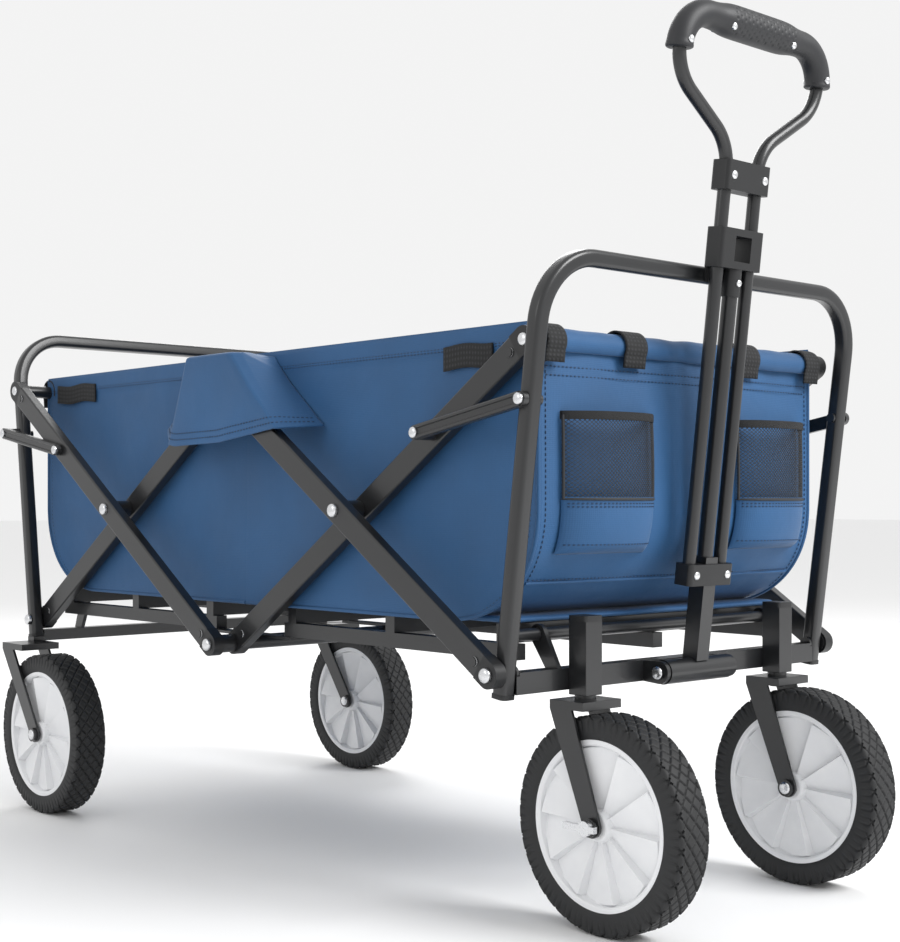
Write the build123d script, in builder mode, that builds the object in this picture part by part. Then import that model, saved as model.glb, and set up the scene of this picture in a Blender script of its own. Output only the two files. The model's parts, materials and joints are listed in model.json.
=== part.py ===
from build123d import *
from math import atan2, cos, hypot, radians, sin, tan
import os

# Folding camp wagon. +X is the front (handle end), +Y the left side, +Z up, and z = 0 is the ground.
# Each side has two crossed pairs of bars: the inner bars run between the end posts and the basket,
# the outer bars run outboard of the posts, and everything folds about the mid plane x = mid_x.
os.makedirs("parts", exist_ok=True)

# Wheels and their placing, measured from the mid plane of the fold
wheel_dia = 200.0
tyre_width = 40.0
rim_dia = 156.0
hub_width = 36.0
front_axle_x = 493.3
rear_axle_x = -365.4
front_track = 295.0
rear_track = 501.2
axle_dia = 10.0
running_gap = 0.05

# Heights that stand on the wheels: the fork plates clear the tyres, and the posts stand on them
tyre_clearance = 3.0
fork_top_thickness = 8.0
fork_top_z = wheel_dia + tyre_clearance + fork_top_thickness
foot_block = 6.0
post_foot_z = fork_top_z + foot_block

# End frames: square tube hoops that lean outwards
tube = 16.0
tube_wall = 1.3
frame_width = 484.0
frame_top_z = post_foot_z + 404.0
hoop_bend = 62.0
frame_lean = 7.5
front_beam_z = post_foot_z + 2.5
front_beam_height = 20.0
rear_beam_z = fork_top_z
rear_beam_height = 14.5

# Scissor bars: centre distances between the pivots, and the slope when the wagon is open
bar_slope = 33.5
long_lever = 268.6
short_lever = 264.3
top_lever = 280.0
crossing_z = post_foot_z + 168.0
bar_width = 25.0
bar_depth = 13.0
bar_wall = 1.3
cap_reach = 13.0
cap_plug = 15.0
plug_gap = 0.1
rivet_at = 20.0
rivet_dia = 5.0
rivet_head = 2.0
flush_head = 0.6
head_height = 3.0
pin_dia = 8.0
pin_gap = 0.25
layer_gap = 0.4
cross_tube_dia = 16.0
cross_tube_wall = 1.2
tube_seat = 4.0
collar_dia = 20.0
head_dia = 13.0

# Brace links between the posts and the bars
link_width = 14.0
link_depth = 6.0
link_post_height = 245.0
link_bar_offset = 134.0

# Floor frames: rails hang under cross members, and each half swings about its end member
floor_length = 358.0
rail_width = 14.0
rail_height = 15.0
rail_z = post_foot_z + 30.0
member_height = 18.0
floor_hinge_z = post_foot_z + 53.0
floor_hinge_inset = 20.4
hinge_rod_dia = 12.0
lug_thickness = 5.0
lug_y = 170.0
lug_wall = 3.5
rest_half_length = 78.0
rest_width = 18.0
rest_thickness = 3.0

# Basket
basket_gap = 1.6
basket_top_z = post_foot_z + 329.0
basket_bottom_z = post_foot_z + 69.0
basket_half_length = 434.0
basket_corner = 80.0
fabric = 3.0
panel_gap = 3.0
panel_top_z = post_foot_z + 310.0
panel_bottom_z = post_foot_z + 71.0
panel_foot_x = 444.5
panel_head_x = 463.5
board_length = 380.0
board_thickness = 5.0
pocket_width = 116.0
pocket_depth = 26.0
pocket_y = 124.0
pocket_low_z = post_foot_z + 128.0
pocket_top_z = post_foot_z + 258.0

# Casters and forks
fork_gap = 3.0
fork_plate = 3.0
fork_arm_width = 26.0
fork_foot_radius = 10.0
socket_width = 22.0
socket_top_z = post_foot_z + 69.0
stem_dia = 10.0
stem_head = 3.0
socket_low_z = post_foot_z - 2.0
rear_plate_length = 54.0
caster_plate_length = 42.0
axle_head = 4.0
brake_width = 6.0
brake_boss_dia = 14.0
brake_plate = 6.0
brake_heel = 26.0
brake_toe = 12.0

# Pull handle
handle_lean = 6.8
handle_pivot_x = 471.0
handle_pivot_z = post_foot_z + 12.0
barrel_dia = 24.0
barrel_half = 48.0
lower_tube = 18.0
mid_tube_dia = 15.0
mid_tube_seat = 30.0
handle_wall = 1.5
rail_tube_dia = 13.0
rail_spread = 23.5
slide_gap = 0.3
clamp_width = 66.0
clamp_depth = 22.0
lower_clamp_h = 85.0
clamp_height = 21.0
guide_h = 391.0
guide_height = 38.0
guide_collar = 26.0
window_rim = 7.0
top_clamp_h = 464.0
top_clamp_height = 28.0
loop_half = 106.5
loop_neck_h = 507.0
loop_top_bend = 36.0
loop_wide_h = 560.0
loop_top_h = 618.0
grip_dia = 25.0

# Derived places
wheel_r = wheel_dia / 2
slope = radians(bar_slope)
lean = radians(frame_lean)
crossing_x = long_lever * cos(slope)
end_pivot_x = crossing_x + short_lever * cos(slope)
end_pivot_z = crossing_z - short_lever * sin(slope)
centre_low_z = crossing_z - long_lever * sin(slope)
centre_high_z = crossing_z + long_lever * sin(slope)
top_tube_x = crossing_x + top_lever * cos(slope)
top_tube_z = crossing_z + top_lever * sin(slope)
hoop_height = (frame_top_z - post_foot_z - tube / 2 * sin(lean)) / cos(lean)
hoop_top_x = end_pivot_x + (frame_top_z - tube / 2 * sin(lean) - end_pivot_z) * tan(lean)
rear_reach = hoop_top_x + tube / 2 * cos(lean)
front_reach = front_axle_x + wheel_r
mid_x = (rear_reach - front_reach) / 2
post_y = frame_width / 2 - tube / 2
outer_y = frame_width / 2 + 2.0
inner_y = frame_width / 2 - tube - 1.0 - bar_depth
basket_half_width = inner_y - layer_gap - head_height - basket_gap
panel_half_width = basket_half_width - fabric - panel_gap
floor_half_width = panel_half_width + 1.0
board_half_width = floor_half_width - 2.0


def save(part, name):
    part.label = name
    export_step(part, f"parts/{name}.step")


def side_plane(x, z, y=0.0):
    """Upright plane seen from the right side: its x is +X, its y is +Z, and it faces -Y."""
    return Plane(origin=(mid_x + x, y, z), x_dir=(1, 0, 0), z_dir=(0, -1, 0))


def bar_plane(start, end, y):
    """Plane on a bar's inboard face: x runs from pivot to pivot and z runs outboard, to the left."""
    run = (end[0] - start[0], 0, end[1] - start[1])
    return Plane(origin=(mid_x + start[0], y, start[1]), x_dir=run, z_dir=(0, 1, 0))


def post_x(end, z):
    """Centre line of an end frame's posts at height z."""
    return end * (end_pivot_x + (z - end_pivot_z) * tan(lean))


def shaft(x, z, low_y, high_y, dia, mode=Mode.ADD):
    """Round stretch along Y between two distances from the mid line, in the part being built."""
    with Locations(Location((mid_x + x, low_y, z), (-90, 0, 0))):
        Cylinder(dia / 2, high_y - low_y, align=(Align.CENTER, Align.CENTER, Align.MIN), mode=mode)


def post(x, y, low_z, high_z, dia, mode=Mode.ADD):
    """Round upright between two heights, in the part being built."""
    with Locations((mid_x + x, y, low_z)):
        Cylinder(dia / 2, high_z - low_z, align=(Align.CENTER, Align.CENTER, Align.MIN), mode=mode)


def block(low, high, mode=Mode.ADD):
    """Box between two corners, with x measured from the mid plane, in the part being built."""
    size = [b - a for a, b in zip(low, high)]
    with Locations((mid_x + low[0], low[1], low[2])):
        Box(*size, align=(Align.MIN, Align.MIN, Align.MIN), mode=mode)


link_low_x = post_x(1, end_pivot_z + link_post_height)
link_low_z = end_pivot_z + link_post_height
link_high_x = crossing_x + link_bar_offset * cos(slope)
link_high_z = crossing_z + link_bar_offset * sin(slope)
floor_hinge_x = end_pivot_x - floor_hinge_inset
beam_x = post_x(1, front_beam_z + front_beam_height / 2)
link_pin_dia = 6.0


# End frames
def build_hoop(end):
    foot = Plane(
        origin=(mid_x + post_x(end, post_foot_z), 0, post_foot_z),
        x_dir=(0, end, 0),
        z_dir=(end * cos(lean), 0, -sin(lean)),
    )
    tail = tube
    top = hoop_height - tube / 2
    route = [(-post_y, -tail), (-post_y, top), (post_y, top), (post_y, -tail)]
    inner = tube - 2 * tube_wall
    with BuildPart() as hoop:
        with BuildSketch(foot):
            with BuildLine():
                FilletPolyline(*route, radius=hoop_bend)
            trace(line_width=tube)
        extrude(amount=tube / 2, both=True)
        with BuildSketch(foot):
            with BuildLine():
                FilletPolyline(*route, radius=hoop_bend)
            trace(line_width=inner)
        extrude(amount=inner / 2, both=True, mode=Mode.SUBTRACT)
        split(bisect_by=Plane.XY.offset(post_foot_z), keep=Keep.TOP)
        for y in (-frame_width / 2 - 1, post_y - tube / 2 - 1):
            shaft(end * end_pivot_x, end_pivot_z, y, y + tube + 2, pin_dia + 2 * pin_gap, Mode.SUBTRACT)
            shaft(end * link_low_x, link_low_z, y, y + tube + 2, link_pin_dia + 2 * pin_gap, Mode.SUBTRACT)
    return hoop


rear_hoop = build_hoop(-1)
save(rear_hoop.part, "rear_frame_hoop")
front_hoop = build_hoop(1)
save(front_hoop.part, "front_frame_hoop")


def build_beam(end, beam_z, beam_height):
    """Cross beam between the post feet, with the two lugs that the floor frame hinges on."""
    half = post_y - tube / 2
    relief = head_dia + 4 * layer_gap
    with BuildPart() as beam:
        with BuildSketch(Plane(origin=(mid_x + end * beam_x, -half, beam_z + beam_height / 2),
                               x_dir=(1, 0, 0), z_dir=(0, 1, 0))):
            Rectangle(tube, beam_height)
            Rectangle(tube - 2 * tube_wall, beam_height - 2 * tube_wall, mode=Mode.SUBTRACT)
        extrude(amount=2 * half)
        for y in (-lug_y, lug_y):
            with BuildSketch(side_plane(0, 0, y + lug_thickness / 2)):
                with Locations((end * floor_hinge_x, floor_hinge_z)):
                    Circle(hinge_rod_dia / 2 + lug_wall)
                with Locations((end * beam_x, beam_z + beam_height - tube_wall / 2)):
                    Rectangle(tube, tube_wall)
                make_hull()
                with Locations((end * floor_hinge_x, floor_hinge_z)):
                    Circle(hinge_rod_dia / 2 + pin_gap, mode=Mode.SUBTRACT)
            extrude(amount=lug_thickness)
        pocket = head_height + 2 * layer_gap
        for low_y in (-half, half - pocket):
            shaft(end * end_pivot_x, end_pivot_z, low_y, low_y + pocket, relief, Mode.SUBTRACT)
    return beam


save(build_beam(-1, rear_beam_z, rear_beam_height).part, "rear_frame_beam")
save(build_beam(1, front_beam_z, front_beam_height).part, "front_frame_beam")


# Scissor bars, their end caps, their pins and the cross tubes
centre_low = (0, centre_low_z)
centre_high = (0, centre_high_z)
bars = {
    "rear_outer": (centre_low, (-top_tube_x, top_tube_z), outer_y),
    "rear_inner": (centre_high, (-end_pivot_x, end_pivot_z), inner_y),
    "front_outer": (centre_high, (end_pivot_x, end_pivot_z), outer_y),
    "front_inner": (centre_low, (top_tube_x, top_tube_z), inner_y),
}
holds_tube = ("rear_outer", "front_inner")

for name, (start, end, y) in bars.items():
    length = hypot(end[0] - start[0], end[1] - start[1])
    end_dia = cross_tube_dia if name in holds_tube else pin_dia
    frame = bar_plane(start, end, y)
    with BuildPart() as bar:
        with BuildSketch(frame):
            with Locations((length / 2, 0)):
                Rectangle(length - 2 * cap_reach, bar_width)
        extrude(amount=bar_depth)
        fillet(bar.edges().filter_by(Axis(frame.origin, frame.x_dir)), bar_wall * 1.5)
        with BuildSketch(frame.offset(bar_wall)):
            with Locations((length / 2, 0)):
                Rectangle(length, bar_width - 2 * bar_wall)
        extrude(amount=bar_depth - 2 * bar_wall, mode=Mode.SUBTRACT)
        with BuildSketch(frame):
            with Locations((long_lever, 0)):
                Circle(pin_dia / 2 + pin_gap)
            with Locations((rivet_at, 0), (length - rivet_at, 0)):
                Circle(rivet_dia / 2)
        extrude(amount=bar_depth, mode=Mode.SUBTRACT)
        mirror(about=Plane.XZ)
    save(bar.part, f"{name}_bars")

    with BuildPart() as caps:
        for at, inward, hole in ((0, 1, pin_dia), (length, -1, end_dia)):
            with BuildSketch(frame):
                with Locations((at, 0)):
                    Circle(bar_width / 2)
                with Locations((at + inward * cap_reach / 2, 0)):
                    Rectangle(cap_reach, bar_width)
            extrude(amount=bar_depth)
            with BuildSketch(frame.offset(bar_wall + plug_gap)):
                with Locations((at + inward * (cap_reach + cap_plug / 2), 0)):
                    Rectangle(cap_plug, bar_width - 2 * bar_wall - 2 * plug_gap)
            extrude(amount=bar_depth - 2 * bar_wall - 2 * plug_gap)
            blind = tube_seat if hole == cross_tube_dia else 0.0
            with BuildSketch(frame):
                with Locations((at, 0)):
                    Circle(hole / 2 + pin_gap)
            extrude(amount=bar_depth - blind, mode=Mode.SUBTRACT)
            with BuildSketch(frame):
                with Locations((at + inward * rivet_at, 0)):
                    Circle(rivet_dia / 2)
            extrude(amount=bar_depth, mode=Mode.SUBTRACT)
        mirror(about=Plane.XZ)
    save(caps.part, f"{name}_caps")

outer_face = outer_y + bar_depth
inner_face = inner_y + bar_depth
post_outer = frame_width / 2
post_inner = post_outer - tube


def through_pin(x, z):
    """Pin through an outer and an inner bar: outboard head, collar between the bars, inboard head."""
    shaft(x, z, inner_y - layer_gap, outer_face, pin_dia)
    shaft(x, z, outer_face, outer_face + head_height, head_dia)
    shaft(x, z, inner_face + layer_gap, outer_y, collar_dia)
    shaft(x, z, inner_y - layer_gap - head_height, inner_y - layer_gap, head_dia)


def bar_rivets(name, head=rivet_head):
    """Rivets that hold a pair of caps in their bar, with heads of a given height outboard."""
    start, end, y = bars[name]
    length = hypot(end[0] - start[0], end[1] - start[1])
    for share in (rivet_at / length, 1 - rivet_at / length):
        x = start[0] + (end[0] - start[0]) * share
        z = start[1] + (end[1] - start[1]) * share
        shaft(x, z, y, y + bar_depth, rivet_dia)
        shaft(x, z, y + bar_depth, y + bar_depth + head, rivet_dia + 4)


with BuildPart() as rear_outer_pins:
    through_pin(-crossing_x, crossing_z)
    through_pin(*centre_low)
    bar_rivets("rear_outer")
    mirror(about=Plane.XZ)
save(rear_outer_pins.part, "rear_outer_pins")

with BuildPart() as front_outer_pins:
    through_pin(crossing_x, crossing_z)
    through_pin(*centre_high)
    shaft(end_pivot_x, end_pivot_z, post_inner - layer_gap, outer_face, pin_dia)
    shaft(end_pivot_x, end_pivot_z, outer_face, outer_face + head_height, head_dia)
    shaft(end_pivot_x, end_pivot_z, post_outer + layer_gap, outer_y, collar_dia)
    shaft(end_pivot_x, end_pivot_z, post_inner - layer_gap - head_height, post_inner - layer_gap, head_dia)
    bar_rivets("front_outer")
    mirror(about=Plane.XZ)
save(front_outer_pins.part, "front_outer_pins")

with BuildPart() as rear_inner_pins:
    shaft(-end_pivot_x, end_pivot_z, inner_y, post_outer + layer_gap, pin_dia)
    shaft(-end_pivot_x, end_pivot_z, inner_y - head_height, inner_y, head_dia)
    shaft(-end_pivot_x, end_pivot_z, post_outer + layer_gap, post_outer + layer_gap + head_height, head_dia)
    shaft(-end_pivot_x, end_pivot_z, inner_face, post_inner - layer_gap, collar_dia)
    bar_rivets("rear_inner", flush_head)
    mirror(about=Plane.XZ)
save(rear_inner_pins.part, "rear_inner_pins")

with BuildPart() as front_inner_rivets:
    bar_rivets("front_inner")
    mirror(about=Plane.XZ)
save(front_inner_rivets.part, "front_inner_rivets")

for name, end, y in (("rear_cross_tube", -1, outer_y), ("front_cross_tube", 1, inner_y)):
    reach = y + bar_depth - tube_seat
    with BuildPart() as cross_tube:
        shaft(end * top_tube_x, top_tube_z, -reach, reach, cross_tube_dia)
        shaft(end * top_tube_x, top_tube_z, -reach, reach, cross_tube_dia - 2 * cross_tube_wall,
              Mode.SUBTRACT)
    save(cross_tube.part, name)

rest_reach = inner_y - layer_gap - head_height
rest_top = rail_z - layer_gap
with BuildPart() as centre_rest:
    shaft(0, centre_low_z, -rest_reach, rest_reach, cross_tube_dia)
    shaft(0, centre_low_z, -rest_reach, rest_reach, cross_tube_dia - 2 * cross_tube_wall, Mode.SUBTRACT)
    rest_y = floor_half_width - rail_width / 2
    for y in (-rest_y, 0, rest_y):
        block((-rest_half_length, y - rest_width / 2, rest_top - rest_thickness),
              (rest_half_length, y + rest_width / 2, rest_top))
save(centre_rest.part, "centre_rest")


# Brace links between the end posts and the bars
for name, end, y in (("rear_brace_links", -1, outer_face), ("front_brace_links", 1, post_outer)):
    low = (end * link_low_x, link_low_z)
    high = (end * link_high_x, link_high_z)
    face = y + layer_gap
    bar_side = outer_face if end < 0 else inner_face
    with BuildPart() as link:
        with BuildSketch(bar_plane(low, high, face)):
            span = hypot(high[0] - low[0], high[1] - low[1])
            with Locations((span / 2, 0)):
                SlotCenterToCenter(span, link_width)
        extrude(amount=link_depth)
        shaft(*low, post_inner - layer_gap - head_height, post_inner - layer_gap, link_pin_dia + 4)
        shaft(*low, post_inner - layer_gap, face, link_pin_dia)
        shaft(*low, post_outer + layer_gap, face + link_depth / 2, link_width)
        shaft(*high, bar_side + layer_gap, face + link_depth / 2, link_width)
        for x, z in (low, high):
            shaft(x, z, face + link_depth, face + link_depth + rivet_head, link_width - 4)
        mirror(about=Plane.XZ)
    save(link.part, name)


# Floor: two frames hinged on the beams, each with a stiff board on top
member_z = rail_z + rail_height
board_low_z = member_z + member_height
for name, end in (("rear", -1), ("front", 1)):
    tip = floor_hinge_x - floor_length
    with BuildPart() as floor_frame:
        shaft(end * floor_hinge_x, floor_hinge_z, -floor_half_width, floor_half_width, hinge_rod_dia)
        first = floor_hinge_x - hinge_rod_dia / 2 - lug_wall - 2 * layer_gap - rail_width / 2
        for x in (first, floor_hinge_x - floor_length / 2, tip + rail_width):
            low_x, high_x = sorted((end * (x - rail_width / 2), end * (x + rail_width / 2)))
            block((low_x, -floor_half_width, member_z), (high_x, floor_half_width, board_low_z))
        low_x, high_x = sorted((end * floor_hinge_x, end * first))
        for y in (-floor_half_width, -rail_width / 2, floor_half_width - rail_width):
            block((low_x, y, floor_hinge_z - 4), (high_x, y + rail_width, floor_hinge_z + 4))
            rail_low, rail_high = sorted((end * tip, end * floor_hinge_x))
            block((rail_low, y, rail_z), (rail_high, y + rail_width, member_z))
    save(floor_frame.part, f"floor_{name}_frame")
    with BuildPart() as board:
        low_x, high_x = sorted((end * (floor_hinge_x - board_length), end * (floor_hinge_x - 2)))
        block((low_x, -board_half_width, board_low_z),
              (high_x, board_half_width, board_low_z + board_thickness))
    save(board.part, f"floor_{name}_board")


# Basket panels and the bottle pockets
with BuildPart() as side_panel:
    with BuildSketch(side_plane(0, 0, basket_half_width)):
        with BuildLine():
            FilletPolyline(
                (-basket_half_length, basket_top_z),
                (-basket_half_length, basket_bottom_z),
                (basket_half_length, basket_bottom_z),
                (basket_half_length, basket_top_z),
                radius=basket_corner,
            )
            Line((-basket_half_length, basket_top_z), (basket_half_length, basket_top_z))
        make_face()
    extrude(amount=fabric)
save(side_panel.part, "basket_side_left")
with BuildPart() as side_panel_right:
    add(side_panel.part.mirror(Plane.XZ))
save(side_panel_right.part, "basket_side_right")

panel_rise = panel_top_z - panel_bottom_z
panel_slope = atan2(panel_head_x - panel_foot_x, panel_rise)


def panel_x(z):
    """Outboard face of the front panel at height z."""
    return panel_foot_x + (z - panel_bottom_z) * tan(panel_slope) + fabric


for name, end in (("basket_rear", -1), ("basket_front", 1)):
    with BuildPart() as end_panel:
        with BuildSketch(side_plane(0, 0, panel_half_width)):
            with BuildLine():
                Polyline(
                    (end * panel_foot_x, panel_bottom_z),
                    (end * panel_head_x, panel_top_z),
                    (end * (panel_head_x + fabric), panel_top_z),
                    (end * (panel_foot_x + fabric), panel_bottom_z),
                    close=True,
                )
            make_face()
        extrude(amount=2 * panel_half_width)
    save(end_panel.part, name)



def pocket_plane(z):
    """Level plane on the front panel at height z: x is to the right and y points forward."""
    return Plane(origin=(mid_x + panel_x(z), pocket_y, z), x_dir=(0, -1, 0), z_dir=(0, 0, 1))


with BuildPart() as pockets:
    half_pocket = pocket_width / 2
    for z in (pocket_low_z, pocket_top_z):
        with BuildSketch(pocket_plane(z)):
            with BuildLine():
                outer = ThreePointArc((half_pocket, 0), (0, pocket_depth), (-half_pocket, 0))
                Line(outer @ 1, outer @ 0)
            make_face()
    loft()
    hollow = half_pocket - fabric
    back = fabric / 2
    for z in (pocket_low_z + fabric, pocket_top_z + 1):
        with BuildSketch(pocket_plane(z)):
            with BuildLine():
                inner = ThreePointArc((hollow, back), (0, pocket_depth - fabric), (-hollow, back))
                Line(inner @ 1, inner @ 0)
            make_face()
    loft(mode=Mode.SUBTRACT)
    mirror(about=Plane.XZ)
save(pockets.part, "bottle_pockets")


# Wheels
def build_tyre(x, y):
    centre = (mid_x + x, y, wheel_r)
    with BuildPart() as tyre:
        with BuildSketch(Plane(origin=centre, x_dir=(1, 0, 0), z_dir=(0, 0, 1))) as section:
            with Locations(((wheel_r + rim_dia / 2) / 2, 0)):
                Rectangle(wheel_r - rim_dia / 2, tyre_width)
            fillet(section.vertices().group_by(Axis.X)[-1], 7)
        revolve(axis=Axis(centre, (0, 1, 0)))
    return tyre


def build_hub(x, y):
    centre = (mid_x + x, y, wheel_r)
    rim_r = rim_dia / 2 - 0.1
    bore_r = axle_dia / 2 + running_gap
    with BuildPart() as hub:
        with BuildSketch(Plane(origin=centre, x_dir=(1, 0, 0), z_dir=(0, 0, 1))):
            with Locations((rim_r - 3, 0)):
                Rectangle(6, hub_width)
            with Locations(((rim_r + bore_r) / 2, 0)):
                Rectangle(rim_r - bore_r, 8)
            with Locations((bore_r + 5, 0)):
                Rectangle(10, tyre_width)
        revolve(axis=Axis(centre, (0, 1, 0)))
    return hub


def build_fork(top_x, axle_x, y, plate_length, bore):
    """Pressed fork: a top plate and two arms that slope forward to the axle."""
    inside = tyre_width / 2 + fork_gap
    outside = inside + fork_plate
    plate_low = fork_top_z - fork_top_thickness
    with BuildPart() as fork:
        block((top_x - plate_length / 2, y - outside, plate_low),
              (top_x + plate_length / 2, y + outside, fork_top_z))
        for low_y in (y - outside, y + inside):
            with BuildSketch(side_plane(0, 0, low_y + fork_plate)):
                with Locations((axle_x, wheel_r)):
                    Circle(fork_foot_radius)
                with Locations((top_x - plate_length / 2 + fork_arm_width / 2, plate_low + 2)):
                    Rectangle(fork_arm_width, 4)
                make_hull()
            extrude(amount=fork_plate)
        shaft(axle_x, wheel_r, y - outside - 1, y + outside + 1, axle_dia, Mode.SUBTRACT)
        if bore:
            post(top_x, y, plate_low, fork_top_z, stem_dia, Mode.SUBTRACT)
    return fork


def build_axle(x, y):
    """Axle bolt with its head and nut outside the fork arms."""
    outside = tyre_width / 2 + fork_gap + fork_plate
    with BuildPart() as axle:
        shaft(x, wheel_r, y - outside, y + outside, axle_dia)
        shaft(x, wheel_r, y - outside - axle_head, y - outside, axle_dia + 7)
        shaft(x, wheel_r, y + outside, y + outside + axle_head, axle_dia + 7)
    return axle


rear_foot_x = post_x(-1, post_foot_z)
rear_fork_x = rear_foot_x + tube
swivel_x = beam_x + tube / 2 + socket_width / 2
with BuildPart() as rear_axles:
    for side in (1, -1):
        add(build_axle(rear_axle_x, side * rear_track / 2).part)
save(rear_axles.part, "rear_axles")

for side, word in ((1, "left"), (-1, "right")):
    rear_y = side * rear_track / 2
    front_y = side * front_track / 2
    with BuildPart() as rear_fork:
        add(build_fork(rear_fork_x, rear_axle_x, rear_y, rear_plate_length, False).part)
        low_y, high_y = sorted((side * post_inner, side * post_outer))
        block((rear_foot_x - tube / 2, low_y, fork_top_z), (rear_foot_x + tube / 2, high_y, post_foot_z))
    save(rear_fork.part, f"rear_fork_{word}")
    save(build_tyre(rear_axle_x, rear_y).part, f"rear_tyre_{word}")
    save(build_hub(rear_axle_x, rear_y).part, f"rear_hub_{word}")
    save(build_tyre(front_axle_x, front_y).part, f"front_tyre_{word}")
    save(build_hub(front_axle_x, front_y).part, f"front_hub_{word}")
    save(build_fork(swivel_x, front_axle_x, front_y, caster_plate_length, True).part, f"caster_fork_{word}")
    save(build_axle(front_axle_x, front_y).part, f"caster_axle_{word}")
    with BuildPart() as stem:
        post(swivel_x, front_y, fork_top_z - fork_top_thickness, socket_top_z - 12, stem_dia)
        post(swivel_x, front_y, fork_top_z, socket_low_z - 2 * running_gap, stem_dia + 10)
        post(swivel_x, front_y, fork_top_z - fork_top_thickness - stem_head,
             fork_top_z - fork_top_thickness, stem_dia + 6)
    save(stem.part, f"caster_stem_{word}")

with BuildPart() as sockets:
    front_face = beam_x + tube / 2
    block((front_face, front_track / 2 - socket_width / 2, socket_low_z),
          (front_face + socket_width, front_track / 2 + socket_width / 2, socket_top_z))
    post(swivel_x, front_track / 2, socket_low_z, socket_top_z - 10, stem_dia + 2 * running_gap,
         Mode.SUBTRACT)
    mirror(about=Plane.XZ)
save(sockets.part, "caster_sockets")

# Wheel brakes: a tread pedal on the outboard end of each caster axle
with BuildPart() as brake:
    brake_y = -front_track / 2 - tyre_width / 2 - fork_gap - fork_plate - axle_head - layer_gap
    shaft(front_axle_x, wheel_r, brake_y - brake_width, brake_y, brake_boss_dia)
    block((front_axle_x - brake_heel, brake_y - brake_width, wheel_r - brake_plate / 2),
          (front_axle_x + brake_toe, brake_y - 1, wheel_r + brake_plate / 2))
save(brake.part, "brake_lever_right")
with BuildPart() as brake_left:
    add(brake.part.mirror(Plane.XZ))
save(brake_left.part, "brake_lever_left")


# Pull handle: clevis, barrel, tubes, guide, and the sliding loop with its clamps and grip
handle_tilt = radians(handle_lean)


def handle_plane(height, y=0.0):
    """Plane across the handle at a distance up from its pivot: x is +Y and y points rearwards."""
    x = mid_x + handle_pivot_x + height * sin(handle_tilt)
    z = handle_pivot_z + height * cos(handle_tilt)
    return Plane(origin=(x, y, z), x_dir=(0, 1, 0), z_dir=(sin(handle_tilt), 0, cos(handle_tilt)))


loop_plane = Plane(
    origin=(mid_x + handle_pivot_x, 0, handle_pivot_z),
    x_dir=(0, 1, 0),
    z_dir=(cos(handle_tilt), 0, -sin(handle_tilt)),
)
pivot_bolt = 8.0
clevis_gap = 0.5
clevis_ear = 5.0

with BuildPart() as clevis:
    face = beam_x + tube / 2
    reach = barrel_half + clevis_gap + clevis_ear
    block((face, -reach, front_beam_z), (face + 4, reach, front_beam_z + front_beam_height))
    for low_y in (-reach, barrel_half + clevis_gap):
        with BuildSketch(side_plane(0, 0, low_y + clevis_ear)):
            with Locations((handle_pivot_x, handle_pivot_z)):
                Circle(barrel_dia / 2 - 1)
            with Locations((face + 2, front_beam_z + front_beam_height / 2)):
                Rectangle(4, front_beam_height)
            make_hull()
        extrude(amount=clevis_ear)
    shaft(handle_pivot_x, handle_pivot_z, -reach, reach, pivot_bolt)
    shaft(handle_pivot_x, handle_pivot_z, -reach - 3, -reach, pivot_bolt + 5)
    shaft(handle_pivot_x, handle_pivot_z, reach, reach + 3, pivot_bolt + 5)
save(clevis.part, "handle_clevis")

with BuildPart() as barrel:
    shaft(handle_pivot_x, handle_pivot_z, -barrel_half, barrel_half, barrel_dia)
    shaft(handle_pivot_x, handle_pivot_z, -barrel_half, barrel_half, pivot_bolt + 2 * running_gap,
          Mode.SUBTRACT)
save(barrel.part, "handle_barrel")

lower_tube_end = lower_clamp_h + clamp_height + 6
with BuildPart() as lower:
    with BuildSketch(handle_plane(barrel_dia / 2 - 2)):
        Rectangle(lower_tube, lower_tube)
        Rectangle(lower_tube - 2 * handle_wall, lower_tube - 2 * handle_wall, mode=Mode.SUBTRACT)
    extrude(amount=lower_tube_end - barrel_dia / 2 + 2)
    shaft(handle_pivot_x, handle_pivot_z, -barrel_half, barrel_half, barrel_dia, Mode.SUBTRACT)
save(lower.part, "handle_lower_tube")

with BuildPart() as mid:
    with BuildSketch(handle_plane(lower_tube_end - mid_tube_seat)):
        Circle(mid_tube_dia / 2 - running_gap)
    extrude(amount=mid_tube_seat)
    with BuildSketch(handle_plane(lower_tube_end)):
        Circle(mid_tube_dia / 2)
    extrude(amount=guide_h - lower_tube_end)
    with BuildSketch(handle_plane(lower_tube_end - mid_tube_seat)):
        Circle(mid_tube_dia / 2 - handle_wall)
    extrude(amount=guide_h + mid_tube_seat, mode=Mode.SUBTRACT)
save(mid.part, "handle_mid_tube")

with BuildPart() as guide:
    with BuildSketch(handle_plane(guide_h)):
        RectangleRounded(clamp_width - 2, clamp_depth, 5)
        with Locations((-rail_spread, 0), (rail_spread, 0)):
            Circle(rail_tube_dia / 2 + slide_gap, mode=Mode.SUBTRACT)
    extrude(amount=guide_height)
    with BuildSketch(handle_plane(guide_h - guide_collar)):
        Circle(mid_tube_dia / 2 + 2)
        Circle(mid_tube_dia / 2, mode=Mode.SUBTRACT)
    extrude(amount=guide_collar)
    with BuildSketch(handle_plane(guide_h + window_rim)):
        Rectangle(rail_spread * 2 - rail_tube_dia - 10, clamp_depth + 2)
    extrude(amount=guide_height - 2 * window_rim, mode=Mode.SUBTRACT)
save(guide.part, "handle_guide")

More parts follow.
